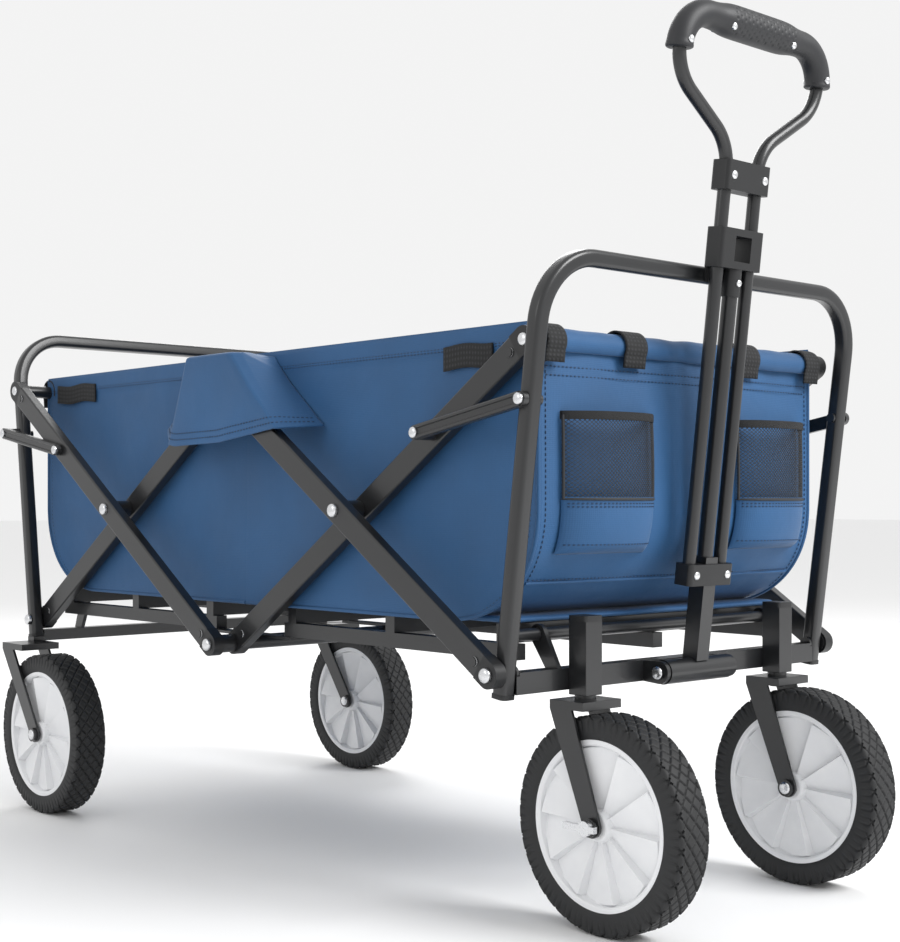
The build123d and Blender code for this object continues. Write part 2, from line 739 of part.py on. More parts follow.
loop_route = [
    (rail_spread, lower_clamp_h),
    (rail_spread, loop_neck_h),
    (loop_half, loop_wide_h),
    (loop_half, loop_top_h),
    (-loop_half, loop_top_h),
    (-loop_half, loop_wide_h),
    (-rail_spread, loop_neck_h),
    (-rail_spread, lower_clamp_h),
]
loop_bends = [25, 30, loop_top_bend, loop_top_bend, 30, 25]
with BuildPart() as loop:
    with BuildLine(loop_plane):
        FilletPolyline(*loop_route, radius=loop_bends)
    with BuildSketch(handle_plane(lower_clamp_h, rail_spread)):
        Circle(rail_tube_dia / 2)
        Circle(rail_tube_dia / 2 - handle_wall, mode=Mode.SUBTRACT)
    sweep()
save(loop.part, "handle_loop")

for name, height, thick, hole in (
    ("handle_lower_clamp", lower_clamp_h - 0.5, clamp_height, lower_tube + 2 * slide_gap),
    ("handle_top_clamp", top_clamp_h, top_clamp_height, 0),
):
    with BuildPart() as clamp:
        with BuildSketch(handle_plane(height)):
            RectangleRounded(clamp_width, clamp_depth, 5)
            with Locations((-rail_spread, 0), (rail_spread, 0)):
                Circle(rail_tube_dia / 2 + running_gap, mode=Mode.SUBTRACT)
            if hole:
                Rectangle(hole, hole, mode=Mode.SUBTRACT)
        extrude(amount=thick)
    save(clamp.part, name)

grip_end_h = loop_top_h - loop_top_bend - 2
grip_route = [
    (loop_half, grip_end_h),
    (loop_half, loop_top_h),
    (-loop_half, loop_top_h),
    (-loop_half, grip_end_h),
]
with BuildPart() as grip:
    with BuildLine(loop_plane):
        FilletPolyline(*grip_route, radius=loop_top_bend)
    with BuildSketch(handle_plane(grip_end_h, loop_half)):
        Circle(grip_dia / 2)
        Circle(rail_tube_dia / 2 + running_gap, mode=Mode.SUBTRACT)
    sweep()
save(grip.part, "handle_grip")

clip_z = frame_top_z - tube / 2
clip_thickness = 2.0
with BuildPart() as clip:
    with BuildSketch(Plane(origin=(mid_x + post_x(1, clip_z) + tube / 2 / cos(lean), 0, clip_z),
                           x_dir=(0, 1, 0), z_dir=(cos(lean), 0, -sin(lean)))):
        RectangleRounded(2 * rail_spread, tube, 2)
    extrude(amount=clip_thickness)
save(clip.part, "handle_clip")
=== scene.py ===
import json

import bmesh
import bpy
import numpy as np
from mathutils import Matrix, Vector


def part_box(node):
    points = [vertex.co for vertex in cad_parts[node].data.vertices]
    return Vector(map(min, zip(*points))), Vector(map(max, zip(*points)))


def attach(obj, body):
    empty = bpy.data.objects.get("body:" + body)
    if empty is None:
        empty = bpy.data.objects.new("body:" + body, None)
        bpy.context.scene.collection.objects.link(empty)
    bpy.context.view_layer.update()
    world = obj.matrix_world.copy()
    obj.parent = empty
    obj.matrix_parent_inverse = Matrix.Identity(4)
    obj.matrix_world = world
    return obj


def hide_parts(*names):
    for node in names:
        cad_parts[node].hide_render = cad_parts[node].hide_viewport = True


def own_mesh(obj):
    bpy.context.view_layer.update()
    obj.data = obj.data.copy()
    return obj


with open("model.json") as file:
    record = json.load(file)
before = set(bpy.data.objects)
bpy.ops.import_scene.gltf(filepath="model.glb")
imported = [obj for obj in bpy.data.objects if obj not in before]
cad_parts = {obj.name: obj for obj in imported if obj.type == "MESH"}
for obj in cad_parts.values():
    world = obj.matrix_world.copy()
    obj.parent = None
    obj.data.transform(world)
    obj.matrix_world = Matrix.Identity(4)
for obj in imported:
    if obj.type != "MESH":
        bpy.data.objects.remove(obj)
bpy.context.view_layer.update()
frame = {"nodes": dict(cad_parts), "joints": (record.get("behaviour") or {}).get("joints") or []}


# Studio: a pale floor under a white sky, a large soft key light from the front of the wagon and a
# weaker fill along its right side. The camera stands low, off the front right corner.
def linear(shade):
    """Linear red, green, blue and alpha of an sRGB hex shade: the sRGB curve, undone."""
    part = np.array([int(shade[i:i + 2], 16) for i in (1, 3, 5)]) / 255
    part = np.where(part <= 0.04045, part / 12.92, ((part + 0.055) / 1.055) ** 2.4)
    return (*part.tolist(), 1.0)


def add(tree, kind, plugs=(), **settings):
    """One shader node with its settings; each plug gives an input a value or another node's output."""
    made = tree.nodes.new(kind)
    for name, value in settings.items():
        setattr(made, name, value)
    for socket, value in dict(plugs).items():
        if isinstance(value, bpy.types.NodeSocket):
            tree.links.new(value, made.inputs[socket])
        else:
            made.inputs[socket].default_value = value
    return made


def new_finish(name):
    """An empty material with one principled shader wired to its output."""
    finish = bpy.data.materials.new(name)
    finish.use_nodes = True
    tree = finish.node_tree
    tree.nodes.clear()
    shader = add(tree, "ShaderNodeBsdfPrincipled")
    add(tree, "ShaderNodeOutputMaterial", {"Surface": shader.outputs["BSDF"]})
    return finish, tree, shader


scene = bpy.context.scene
scene.view_settings.view_transform = "Standard"
world = bpy.data.worlds.new("white_sky")
scene.world = world
world.use_nodes = True
world.node_tree.nodes["Background"].inputs["Color"].default_value = linear("#ffffff")
world.node_tree.nodes["Background"].inputs["Strength"].default_value = 0.9

floor_mesh = bpy.data.meshes.new("studio_floor")
floor_mesh.from_pydata([(-30, -30, 0), (30, -30, 0), (30, 30, 0), (-30, 30, 0)], [], [(0, 1, 2, 3)])
studio_floor = bpy.data.objects.new("studio_floor", floor_mesh)
scene.collection.objects.link(studio_floor)
pale_paint, tree, shader = new_finish("pale_studio_paint")
shader.inputs["Base Color"].default_value = linear("#f4f4f4")
shader.inputs["Roughness"].default_value = 0.9
floor_mesh.materials.append(pale_paint)

for name, place, aim, size, power in (
    ("key_light", (2.6, 0.9, 2.3), (0.2, 0, 0.4), 1.5, 84),
    ("side_fill", (-0.4, -3.2, 1.7), (0, 0, 0.4), 1.2, 9),
    ("back_light", (-2.2, 1.6, 2.4), (0, 0, 0.4), 1.6, 34),
):
    lamp = bpy.data.lights.new(name, "AREA")
    lamp.energy = power
    lamp.size = size
    light = bpy.data.objects.new(name, lamp)
    scene.collection.objects.link(light)
    light.location = place
    light.rotation_euler = (Vector(aim) - Vector(place)).to_track_quat("-Z", "Y").to_euler()

camera_turn = np.radians(47.883)
camera_data = bpy.data.cameras.new("camera")
camera_data.lens = 59.95
camera_data.shift_y = 31.5 / 942
camera = bpy.data.objects.new("camera", camera_data)
scene.collection.objects.link(camera)
camera.location = (1.411, -1.2157, 0.3929)
camera.rotation_euler = (np.radians(90), 0, camera_turn)
scene.camera = camera


# Pivots: the places of the frame's hinges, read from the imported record. Lengths in this file are
# written in millimetres and turned to metres by mm.
mm = 0.001
joint = {j["name"]: j for j in frame["joints"]}
pivot = {name: np.array(j["pos_m"]) / mm for name, j in joint.items() if "pos_m" in j}
mid_x = pivot["centre_top"][0]
ends = (("rear", -1), ("front", 1))
sides = (("left", 1), ("right", -1))


def limits(node):
    """Lowest and highest corner of a CAD node, in millimetres."""
    low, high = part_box(node)
    return np.array(low) / mm, np.array(high) / mm


# Powder-coated steel: every tube, bar, beam and bracket of the frame. Polyester powder baked on
# steel is satin black-grey with a faint orange peel, and its rounded edges catch a bright line.
def noise(place, scale, detail=2.0):
    """Noise over the position that the coordinates node gives."""
    return add(place.id_data, "ShaderNodeTexNoise",
               {"Vector": place.outputs["Object"], "Scale": scale, "Detail": detail})


def blend(tree, share, low, high):
    """Mixes two sRGB colours: the first where share is 0, the second where it is 1."""
    mix = add(tree, "ShaderNodeMix", {"Factor": share}, data_type="RGBA")
    mix.inputs[6].default_value = linear(low)
    mix.inputs[7].default_value = linear(high)
    return mix


def bumped(shader, height, strength, distance):
    """Bends the finish's normal by a height of 0 to 1, which stands for the distance in metres."""
    tree = shader.id_data
    bump = add(tree, "ShaderNodeBump", {"Height": height, "Strength": strength, "Distance": distance})
    tree.links.new(bump.outputs["Normal"], shader.inputs["Normal"])


satin_powder_coat, tree, shader = new_finish("satin_black_powder_coat")
place = add(tree, "ShaderNodeTexCoord")
peel = noise(place, 900.0, 2.0)
cloud = noise(place, 14.0, 3.0)
ramp = add(tree, "ShaderNodeMapRange", {"Value": cloud.outputs["Fac"], "To Min": 0.30, "To Max": 0.42})
tone = blend(tree, cloud.outputs["Fac"], "#121315", "#1c1d1f")
bumped(shader, peel.outputs["Fac"], 0.12, 0.0004)
tree.links.new(tone.outputs[2], shader.inputs["Base Color"])
tree.links.new(ramp.outputs["Result"], shader.inputs["Roughness"])
shader.inputs["Coat Weight"].default_value = 0.3
shader.inputs["Coat Roughness"].default_value = 0.14


def coat(finish, *nodes):
    """Gives CAD nodes a finish in place of their plain one."""
    for node in nodes:
        cells = frame["nodes"][node].data.materials
        cells.clear()
        cells.append(finish)


coat(
    satin_powder_coat,
    "rear_frame_beam", "front_frame_beam", "rear_axles", "rear_outer_bars", "rear_inner_bars",
    "front_outer_bars", "front_inner_bars", "rear_outer_pins", "rear_inner_pins", "front_outer_pins",
    "front_inner_rivets", "rear_cross_tube", "front_cross_tube", "centre_rest", "rear_brace_links",
    "front_brace_links", "floor_rear_frame", "floor_front_frame", "caster_stem_left",
    "caster_stem_right", "caster_axle_left", "caster_axle_right", "handle_clevis", "handle_barrel",
    "handle_lower_tube", "handle_mid_tube",
)


def surface(name, points, wrap_rows=False, wrap_columns=False, uv=None, crease=40):
    """Mesh of quads between neighbours on a grid of points in millimetres, or on many like grids.

    A wrapped grid joins its last row or column to its first. uv holds metres over the cloth.
    """
    points = np.asarray(points, float)
    points = points if points.ndim == 4 else points[None]
    copies, rows, columns = points.shape[:3]
    k, r, c = np.meshgrid(
        np.arange(copies),
        np.arange(rows if wrap_rows else rows - 1),
        np.arange(columns if wrap_columns else columns - 1),
        indexing="ij",
    )

    def index(row, column):
        return (k * rows + row % rows) * columns + column % columns

    face_corners = [index(r, c), index(r, c + 1), index(r + 1, c + 1), index(r + 1, c)]
    quads = np.stack(face_corners, -1).reshape(-1, 4)
    mesh = bpy.data.meshes.new(name)
    mesh.vertices.add(copies * rows * columns)
    mesh.vertices.foreach_set("co", (points * mm).astype(np.float32).ravel())
    mesh.loops.add(quads.size)
    mesh.loops.foreach_set("vertex_index", quads.astype(np.int32).ravel())
    mesh.polygons.add(len(quads))
    mesh.polygons.foreach_set("loop_start", np.arange(0, quads.size, 4, dtype=np.int32))
    mesh.polygons.foreach_set("loop_total", np.full(len(quads), 4, np.int32))
    mesh.update(calc_edges=True)
    if uv is not None:
        lay = mesh.uv_layers.new(name="UVMap")
        spread = np.asarray(uv, float).reshape(-1, 2)[quads.ravel()]
        lay.data.foreach_set("uv", spread.astype(np.float32).ravel())
    if wrap_columns or wrap_rows:
        shell = bmesh.new()
        shell.from_mesh(mesh)
        bmesh.ops.remove_doubles(shell, verts=shell.verts, dist=1e-6)
        bmesh.ops.dissolve_degenerate(shell, edges=shell.edges, dist=1e-7)
        bmesh.ops.recalc_face_normals(shell, faces=shell.faces)
        shell.to_mesh(mesh)
        shell.free()
    mesh.polygons.foreach_set("use_smooth", np.ones(len(mesh.polygons), bool))
    mesh.set_sharp_from_angle(angle=np.radians(crease))
    piece = bpy.data.objects.new(name, mesh)
    scene.collection.objects.link(piece)
    return piece


def fit(piece, body, finish, slot, *stands_for):
    """Gives a piece its finish and the body it moves with, and hides the solids it replaces. The slot is not
    used.
    """
    piece.data.materials.clear()
    piece.data.materials.append(finish)
    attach(piece, body)
    if stands_for:
        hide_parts(*stands_for)
    return piece


# End hoops: one square tube with rounded corners, bent twice over the basket and set on the beam
# at a slight outward lean. Each leg ends in a black foot plug.
def rounded_route(corners, radii, steps=14):
    """Points along a line of corners whose inner ones are arcs.

    Each arc starts radius times the tangent of half the turn before its corner, and its points are
    the spherical mix of the two radii that bound it.
    """
    corners = np.asarray(corners, float)
    route = [corners[0]]
    for before, corner, after, radius in zip(corners, corners[1:], corners[2:], radii):
        a = (before - corner) / np.linalg.norm(before - corner)
        b = (after - corner) / np.linalg.norm(after - corner)
        turn = np.arccos(np.clip(-(a @ b), -1, 1))
        reach = radius * np.tan(turn / 2)
        centre = corner + (a + b) / np.linalg.norm(a + b) * np.hypot(radius, reach)
        t = np.linspace(0, 1, steps)[:, None]
        first = corner + a * reach - centre
        last = corner + b * reach - centre
        route.extend(centre + (np.sin((1 - t) * turn) * first + np.sin(t * turn) * last) / np.sin(turn))
    route.append(corners[-1])
    return np.array(route)


def evenly(route, step):
    """The same line with points about one step apart along its length."""
    along = np.concatenate([[0], np.cumsum(np.linalg.norm(np.diff(route, axis=0), axis=1))])
    at = np.linspace(0, along[-1], max(2, int(round(along[-1] / step)) + 1))
    return np.stack([np.interp(at, along, route[:, i]) for i in range(3)], -1), at


def rounded_square(width, depth, radius, steps=6):
    """Outline of a rectangle with round corners: quarter circles about the four corner centres."""
    angle = np.linspace(0, np.pi / 2, steps)
    turn = np.arange(4)[:, None] * np.pi / 2 + angle[None]
    x_sign = np.array([1, -1, -1, 1])[:, None]
    y_sign = np.array([1, 1, -1, -1])[:, None]
    x = x_sign * (width / 2 - radius) + radius * np.cos(turn)
    y = y_sign * (depth / 2 - radius) + radius * np.sin(turn)
    return np.stack([x.ravel(), y.ravel()], -1)


def circle(radius, steps=24):
    """Outline of a circle."""
    angle = np.linspace(0, 2 * np.pi, steps, endpoint=False)
    return np.stack([radius * np.cos(angle), radius * np.sin(angle)], -1)


def capped(points, route):
    """Rows of points with one more row at each end, which shrinks to the route's end point."""
    return np.concatenate([np.broadcast_to(route[:1, None], (1, *points.shape[1:])), points,
                           np.broadcast_to(route[-1:, None], (1, *points.shape[1:]))])


def carried(route, profile, side):
    """A profile carried along a flat route.

    Each point is the route's, plus the profile's first value along side and its second along the
    direction square to both side and the run. Each end shrinks to its middle in one last row.
    """
    run = np.gradient(route, axis=0)
    run /= np.linalg.norm(run, axis=1)[:, None]
    side = np.asarray(side, float)
    across = np.cross(run, side)
    points = route[:, None] + (profile[None, :, :1] * side + profile[None, :, 1:] * across[:, None])
    return capped(points, route)


# Black polypropylene, injection moulded with a fine spark-eroded grain: matt with a soft wide shine.
black_moulding, tree, shader = new_finish("moulded_black_polypropylene")
place = add(tree, "ShaderNodeTexCoord")
spark = noise(place, 1400.0, 3.0)
sheen = noise(place, 40.0, 2.0)
gloss = add(tree, "ShaderNodeMapRange", {"Value": sheen.outputs["Fac"], "To Min": 0.38, "To Max": 0.52})
bumped(shader, spark.outputs["Fac"], 0.25, 0.0003)
tree.links.new(gloss.outputs["Result"], shader.inputs["Roughness"])
shader.inputs["Base Color"].default_value = linear("#131416")

lean = np.radians(7.5)
tube_width = 16.0
tube_corner = 4.6
hoop_bend = 62
plug_width = 17.4
plug_low, plug_high = -1.5, 2.5
rail_section = rounded_square(tube_width, tube_width, tube_corner)
plug_section = rounded_square(plug_width, plug_width, tube_corner)
for end_name, end in ends:
    low, high = limits(f"{end_name}_frame_hoop")
    half = (high[1] - low[1]) / 2 - tube_width / 2
    fore = np.array([end * np.cos(lean), 0, -np.sin(lean)])
    rise = np.array([end * np.sin(lean), 0, np.cos(lean)])
    end_pivot = pivot["fold" if end < 0 else "front_end"]
    foot = end_pivot + rise * ((low[2] - end_pivot[2]) / np.cos(lean)) + rise
    top = (high[2] - tube_width / 2 - foot[2]) / np.cos(lean)
    across = np.array([0, 1, 0])
    corners = [foot - across * half, foot + rise * top - across * half,
               foot + rise * top + across * half, foot + across * half]
    route, _ = evenly(rounded_route(corners, [hoop_bend, hoop_bend], 24), 6)
    hoop = surface(f"{end_name}_hoop_tube",
                   carried(route, rail_section, fore), wrap_columns=True)
    fit(hoop, f"{end_name}_frame", satin_powder_coat, "frame_steel", f"{end_name}_frame_hoop")
    plugs = []
    for y in (-half, half):
        stub = np.array([foot + across * y + rise * plug_low, foot + across * y + rise * plug_high])
        plugs.append(carried(evenly(stub, 2)[0], plug_section, fore))
    plug = surface(f"{end_name}_foot_plugs", np.array(plugs), wrap_columns=True)
    fit(plug, f"{end_name}_frame", black_moulding, "black_plastic")


# Scissor bars: rectangular tube with black end caps. Each pivot pin and cap rivet is a domed steel
# head with a bright zinc plating.
zinc_plate, tree, shader = new_finish("zinc_plated_rivet_steel")
place = add(tree, "ShaderNodeTexCoord")
swirl = noise(place, 260.0, 4.0)
shine = add(tree, "ShaderNodeMapRange", {"Value": swirl.outputs["Fac"], "To Min": 0.18, "To Max": 0.36})
tree.links.new(shine.outputs["Result"], shader.inputs["Roughness"])
shader.inputs["Base Color"].default_value = linear("#d9dadc")
shader.inputs["Metallic"].default_value = 1.0

coat(black_moulding, "rear_outer_caps", "rear_inner_caps", "front_outer_caps", "front_inner_caps",
     "handle_clip")


def domes(places, radius, skirt, rise, side_axis=1):
    """Rivet heads: a short skirt, a rounded rim and a dome, turned about the axis at each place.

    Row t of a head has the radius cos(t) and the height sin(t) of a quarter ellipse above its skirt.
    places holds x, y, z and the outward direction, 1 or -1, along the axis.
    """
    t = np.linspace(0, np.pi / 2, 7)
    reach = np.concatenate([[0, 1], np.cos(t)]) * radius
    out = np.concatenate([[-skirt, -skirt], np.sin(t) * rise])
    angle = np.linspace(0, 2 * np.pi, 20, endpoint=False)
    head = np.zeros((len(reach), len(angle), 3))
    others = [i for i in range(3) if i != side_axis]
    head[..., others[0]] = reach[:, None] * np.cos(angle)
    head[..., others[1]] = reach[:, None] * np.sin(angle)
    head[..., side_axis] = out[:, None]
    places = np.asarray(places, float)
    turned = np.repeat(head[None], len(places), 0)
    turned[..., side_axis] *= places[:, 3][:, None, None]
    return turned + places[:, None, None, :3]


outer_face = limits("front_outer_bars")[1][1]
inner_face = limits("front_inner_bars")[1][1]
crossing_z = pivot["rear_crossing"][2]
centre_low = np.array([mid_x, 0, 2 * crossing_z - pivot["centre_top"][2]])
tube_low, tube_high = limits("rear_cross_tube")
rear_tube = (tube_low + tube_high) / 2
tube_low, tube_high = limits("front_cross_tube")
front_tube = (tube_low + tube_high) / 2
bar_lines = {
    "rear_outer": (centre_low, rear_tube, outer_face, [centre_low, pivot["rear_crossing"]]),
    "rear_inner": (pivot["centre_top"], pivot["fold"], inner_face, []),
    "front_outer": (pivot["centre_top"], pivot["front_end"], outer_face,
                    [pivot["centre_top"], pivot["front_crossing"], pivot["front_end"]]),
    "front_inner": (centre_low, front_tube, inner_face, []),
}
rivet_at = 20.0
rivet_radius = 4.7
pin_radius = 6.8
pin_rise = 2.6
for body, (start, end, face, pins) in bar_lines.items():
    run = (end - start) / np.linalg.norm(end - start)
    rivets = [start + run * rivet_at, end - run * rivet_at]
    proud = 0.6 if body == "rear_inner" else 2.0
    small = [(p[0], s * (face + 0.1 * proud), p[2], s) for p in rivets for _, s in sides]
    heads = surface(f"{body}_rivet_heads", domes(small, rivet_radius, 0.1 * proud, 0.8 * proud),
                    wrap_columns=True)
    fit(heads, body, zinc_plate, "zinc")
    if pins:
        large = [(p[0], s * (face + 3), p[2], s) for p in pins for _, s in sides]
        caps = surface(f"{body}_pin_heads", domes(large, pin_radius, pin_rise, pin_rise),
                       wrap_columns=True)
        fit(caps, body, zinc_plate, "zinc")
for end_name, body, tube, face in (("rear", "rear_outer", rear_tube, outer_face),
                                   ("front", "front_inner", front_tube, inner_face)):
    tube_ends = [(tube[0], s * (face + 0.1), tube[2], s) for _, s in sides]
    screw_heads = surface(f"{end_name}_tube_screws", domes(tube_ends, 6, 0.1, 2.2), wrap_columns=True)
    fit(screw_heads, body, zinc_plate, "zinc")
post_face = 242.0
rear_end_heads = [(pivot["fold"][0], s * (post_face + 3.4), pivot["fold"][2], s) for _, s in sides]
caps = surface("rear_inner_pin_heads", domes(rear_end_heads, pin_radius, pin_rise, pin_rise),
               wrap_columns=True)
fit(caps, "rear_inner", zinc_plate, "zinc")

# Brace links: pressed steel channels between each post and its bar. Two rolled edges and a groove
# between them run the length of the link, with a rivet at each end.
link_end = 7
for end_name, end in ends:
    low, high = limits(f"{end_name}_brace_links")
    near = pivot[f"{end_name}_link"]
    reach = (high[0] - low[0]) - 2 * link_end
    falls = near[2] > (low[2] + high[2]) / 2
    far = np.array([near[0] - end * reach, 0, low[2] + link_end if falls else high[2] - link_end])
    run = (far - near) / np.linalg.norm(far - near)
    rise = np.array([-run[2], 0, run[0]])
    face = high[1] - 2.0
    ribs, heads = [], []
    for _, s in sides:
        for edge in (-1, 1):
            line = np.array([near + rise * edge * 4.8, far + rise * edge * 4.8])
            line[:, 1] = s * face
            ribs.append(carried(evenly(line, 12)[0], circle(1.9, 10), np.array([0, 1, 0])))
        heads += [(p[0], s * (face + 2), p[2], s) for p in (near, far)]
    fit(surface(f"{end_name}_link_edges", np.array(ribs), wrap_columns=True), f"{end_name}_links",
        satin_powder_coat, "frame_steel")
    fit(surface(f"{end_name}_link_rivets", domes(heads, 5.4, 1.8, 2.0), wrap_columns=True),
        f"{end_name}_links", zinc_plate, "zinc")


# Tyres: moulded foam rubber with a fine diamond tread that runs over both shoulders. The grooves
# are cut into the surface, so the outline is broken where they reach the edge.
foam_rubber, tree, shader = new_finish("moulded_tyre_foam_rubber")
place = add(tree, "ShaderNodeTexCoord")
pores = noise(place, 700.0, 4.0)
dust = noise(place, 30.0, 4.0)
tone = blend(tree, dust.outputs["Fac"], "#151617", "#1e1f21")
bumped(shader, pores.outputs["Fac"], 0.3, 0.0004)
tree.links.new(tone.outputs[2], shader.inputs["Base Color"])
shader.inputs["Roughness"].default_value = 0.62

# Wheel discs: white gloss polypropylene with ten fan blades, each a flat sector that tilts up to a
# sharp step, around a raised boss and inside a raised rim.
white_moulding, tree, shader = new_finish("moulded_white_polypropylene")
place = add(tree, "ShaderNodeTexCoord")
haze = noise(place, 50.0, 3.0)
tone = blend(tree, haze.outputs["Fac"], "#dcdde0", "#e8e9ea")
grain = noise(place, 1200.0)
bumped(shader, grain.outputs["Fac"], 0.08, 0.0003)
tree.links.new(tone.outputs[2], shader.inputs["Base Color"])
shader.inputs["Roughness"].default_value = 0.33

wheel_radius = 100.0
rim_radius = 78.0
tyre_half = 20.0
shoulder = 4.5
tread_blocks = 40
tread_lanes = 13.0
tread_reach = 26.5
groove_depth = 1.5
groove_half_width = 1.15
groove_flank = 0.7


def turned(profile, angle, centre):
    """A closed profile of (radius, y) turned about the wheel's axle, one row for each angle."""
    reach, out = profile[..., 0], profile[..., 1]
    return np.stack([centre[0] + reach * np.cos(angle)[:, None],
                     centre[1] + out,
                     centre[2] + reach * np.sin(angle)[:, None]], -1)


arc = np.linspace(0, np.pi / 2, 9)
tread_y = np.linspace(-(tyre_half - shoulder), tyre_half - shoulder, 38)
near_arc = np.stack([wheel_radius - shoulder + shoulder * np.sin(arc),
                     -(tyre_half - shoulder) - shoulder * np.cos(arc)], -1)
far_arc = near_arc[::-1] * [1, -1]
crown = np.stack([wheel_radius - 0.6 * (tread_y / tread_y[-1]) ** 2, tread_y], -1)[1:-1]
wall = np.array([[rim_radius, -18.2], [rim_radius + 2, -19.4], [rim_radius + 5, -19.9],
                 [rim_radius + 9, -tyre_half]])
tyre_profile = np.concatenate([wall, near_arc, crown, far_arc, wall[::-1] * [1, -1]])
step = np.linalg.norm(np.diff(tyre_profile, axis=0), axis=1)
across_tread = np.concatenate([[0], np.cumsum(step)])
across_tread -= across_tread[-1] / 2
wheel_angle = np.linspace(0, 2 * np.pi, 1020, endpoint=False)
pitch = 2 * np.pi * wheel_radius / tread_blocks
round_tread = wheel_angle[:, None] * wheel_radius


def groove(phase):
    """Depth share of a groove where phase, in millimetres from its middle, is small: a smooth step."""
    share = np.clip((groove_half_width - np.abs(phase)) / groove_flank, 0, 1)
    return share * share * (3 - 2 * share)


lane_share = tread_lanes / np.hypot(tread_lanes, pitch)
cut = np.zeros((len(wheel_angle), len(tyre_profile)))
for lean_way in (-1, 1):
    phase = round_tread / pitch + lean_way * across_tread[None] / tread_lanes
    phase = (phase - np.round(phase)) * pitch * lane_share
    cut = np.maximum(cut, groove(phase))
cut *= np.clip((tread_reach - np.abs(across_tread)) / 2.5, 0, 1)[None]
inward = np.stack([np.where(np.abs(tyre_profile[:, 1]) > 19.5, 0.3, 1.0),
                   -np.sign(tyre_profile[:, 1]) * np.where(np.abs(tyre_profile[:, 1]) > 16, 0.9, 0.0)], -1)
tread_profile = np.repeat(tyre_profile[None], len(wheel_angle), 0)
tread_profile[..., 0] -= groove_depth * cut * inward[:, 0]
tread_profile[..., 1] += groove_depth * cut * inward[:, 1]

blades = 10
disc_half = 13.6
blade_rise = 8.6
hub_angle = np.linspace(0, 2 * np.pi, 720, endpoint=False)
boss = np.array([[5.2, 20], [12, 20], [13.4, 19.4], [14.2, 18]])
rim = np.array([[71.5, disc_half], [72.6, 17.4], [74, 18.3], [rim_radius - 0.1, 18.3]])
hub_reach = np.concatenate([boss[:, 0], np.linspace(15.5, 70.5, 12), rim[:, 0]])
hub_out = np.concatenate([boss[:, 1], np.full(12, disc_half), rim[:, 1]])
turn_share = (hub_angle * blades / (2 * np.pi)) % 1
blade_end = 0.93
saw = np.where(turn_share < blade_end, turn_share / blade_end, (1 - turn_share) / (1 - blade_end)) - 0.5
on_blade = np.concatenate([np.zeros(4), np.linspace(0.5, 1, 12), np.zeros(4)])
hub_profile = np.zeros((len(hub_angle), 2 * len(hub_reach), 2))
for face_at, flip in ((slice(0, len(hub_reach)), 1), (slice(len(hub_reach), None), -1)):
    lift = hub_out[None] + blade_rise * saw[:, None] * on_blade[None]
    reach = np.repeat(hub_reach[None], len(hub_angle), 0)
    hub_profile[:, face_at, 0] = reach[:, ::flip]
    hub_profile[:, face_at, 1] = flip * lift[:, ::flip]

for end_name, _ in ends:
    for side_name, side in sides:
        axle = pivot[f"{end_name}_wheel_{side_name}_spin"]
        body = f"{end_name}_wheel_{side_name}"
        tyre = surface(f"{body}_tyre", turned(tread_profile, wheel_angle, axle), True, True, crease=50)
        fit(tyre, body, foam_rubber, "tyre", f"{end_name}_tyre_{side_name}")
        disc = surface(f"{body}_disc", turned(hub_profile, hub_angle, axle), True, True, crease=18)
        fit(disc, body, white_moulding, "hub_plastic", f"{end_name}_hub_{side_name}")


# Forks, caster sockets and brakes: forks are pressed from 3 mm steel plate, sockets are square tube
# welded to the beam under a moulded cap, and each caster axle carries a zinc-plated brake pedal.
sharp_from = np.radians(30)


def softened(node, radius, body, finish, slot):
    """A copy of a CAD solid with rounded edges: its triangles are merged, then its edges bevelled."""
    source = frame["nodes"][node]
    shell = bmesh.new()
    shell.from_mesh(source.data)
    bmesh.ops.remove_doubles(shell, verts=shell.verts, dist=1e-6)
    bmesh.ops.dissolve_limit(shell, angle_limit=np.radians(0.5), verts=shell.verts, edges=shell.edges)
    bmesh.ops.recalc_face_normals(shell, faces=shell.faces)
    mesh = bpy.data.meshes.new(f"{node}_rounded")
    shell.to_mesh(mesh)
    shell.free()
    mesh.polygons.foreach_set("use_smooth", np.ones(len(mesh.polygons), bool))
    mesh.set_sharp_from_angle(angle=sharp_from)
    piece = bpy.data.objects.new(f"{node}_rounded", mesh)
    scene.collection.objects.link(piece)
    edge = piece.modifiers.new("rounded_edges", "BEVEL")
    edge.width = radius * mm
    edge.segments = 3
    edge.limit_method = "ANGLE"
    edge.angle_limit = sharp_from
    edge.harden_normals = True
    return fit(piece, body, finish, slot, node)


for side_name, side in sides:
    softened(f"rear_fork_{side_name}", 1.2, "rear_frame", satin_powder_coat, "frame_steel")
    softened(f"caster_fork_{side_name}", 1.2, f"caster_{side_name}", satin_powder_coat, "frame_steel")
    softened(f"brake_lever_{side_name}", 1.0, f"brake_{side_name}", zinc_plate, "zinc")
softened("caster_sockets", 2.0, "front_frame", satin_powder_coat, "frame_steel")

fork_face = 30.0
bolts = {"rear_frame": [], "caster_left": [], "caster_right": []}
for end_name, _ in ends:
    for side_name, side in sides:
        axle = pivot[f"{end_name}_wheel_{side_name}_spin"]
        body = "rear_frame" if end_name == "rear" else f"caster_{side_name}"
        for way in (-1, 1):
            bolts[body].append((axle[0], axle[1] + way * fork_face, axle[2], way))
for body, places in bolts.items():
    heads = surface(f"{body}_axle_bolts", domes(places, 6.5, 0.5, 2.4), wrap_columns=True)
    fit(heads, body, zinc_plate, "zinc")

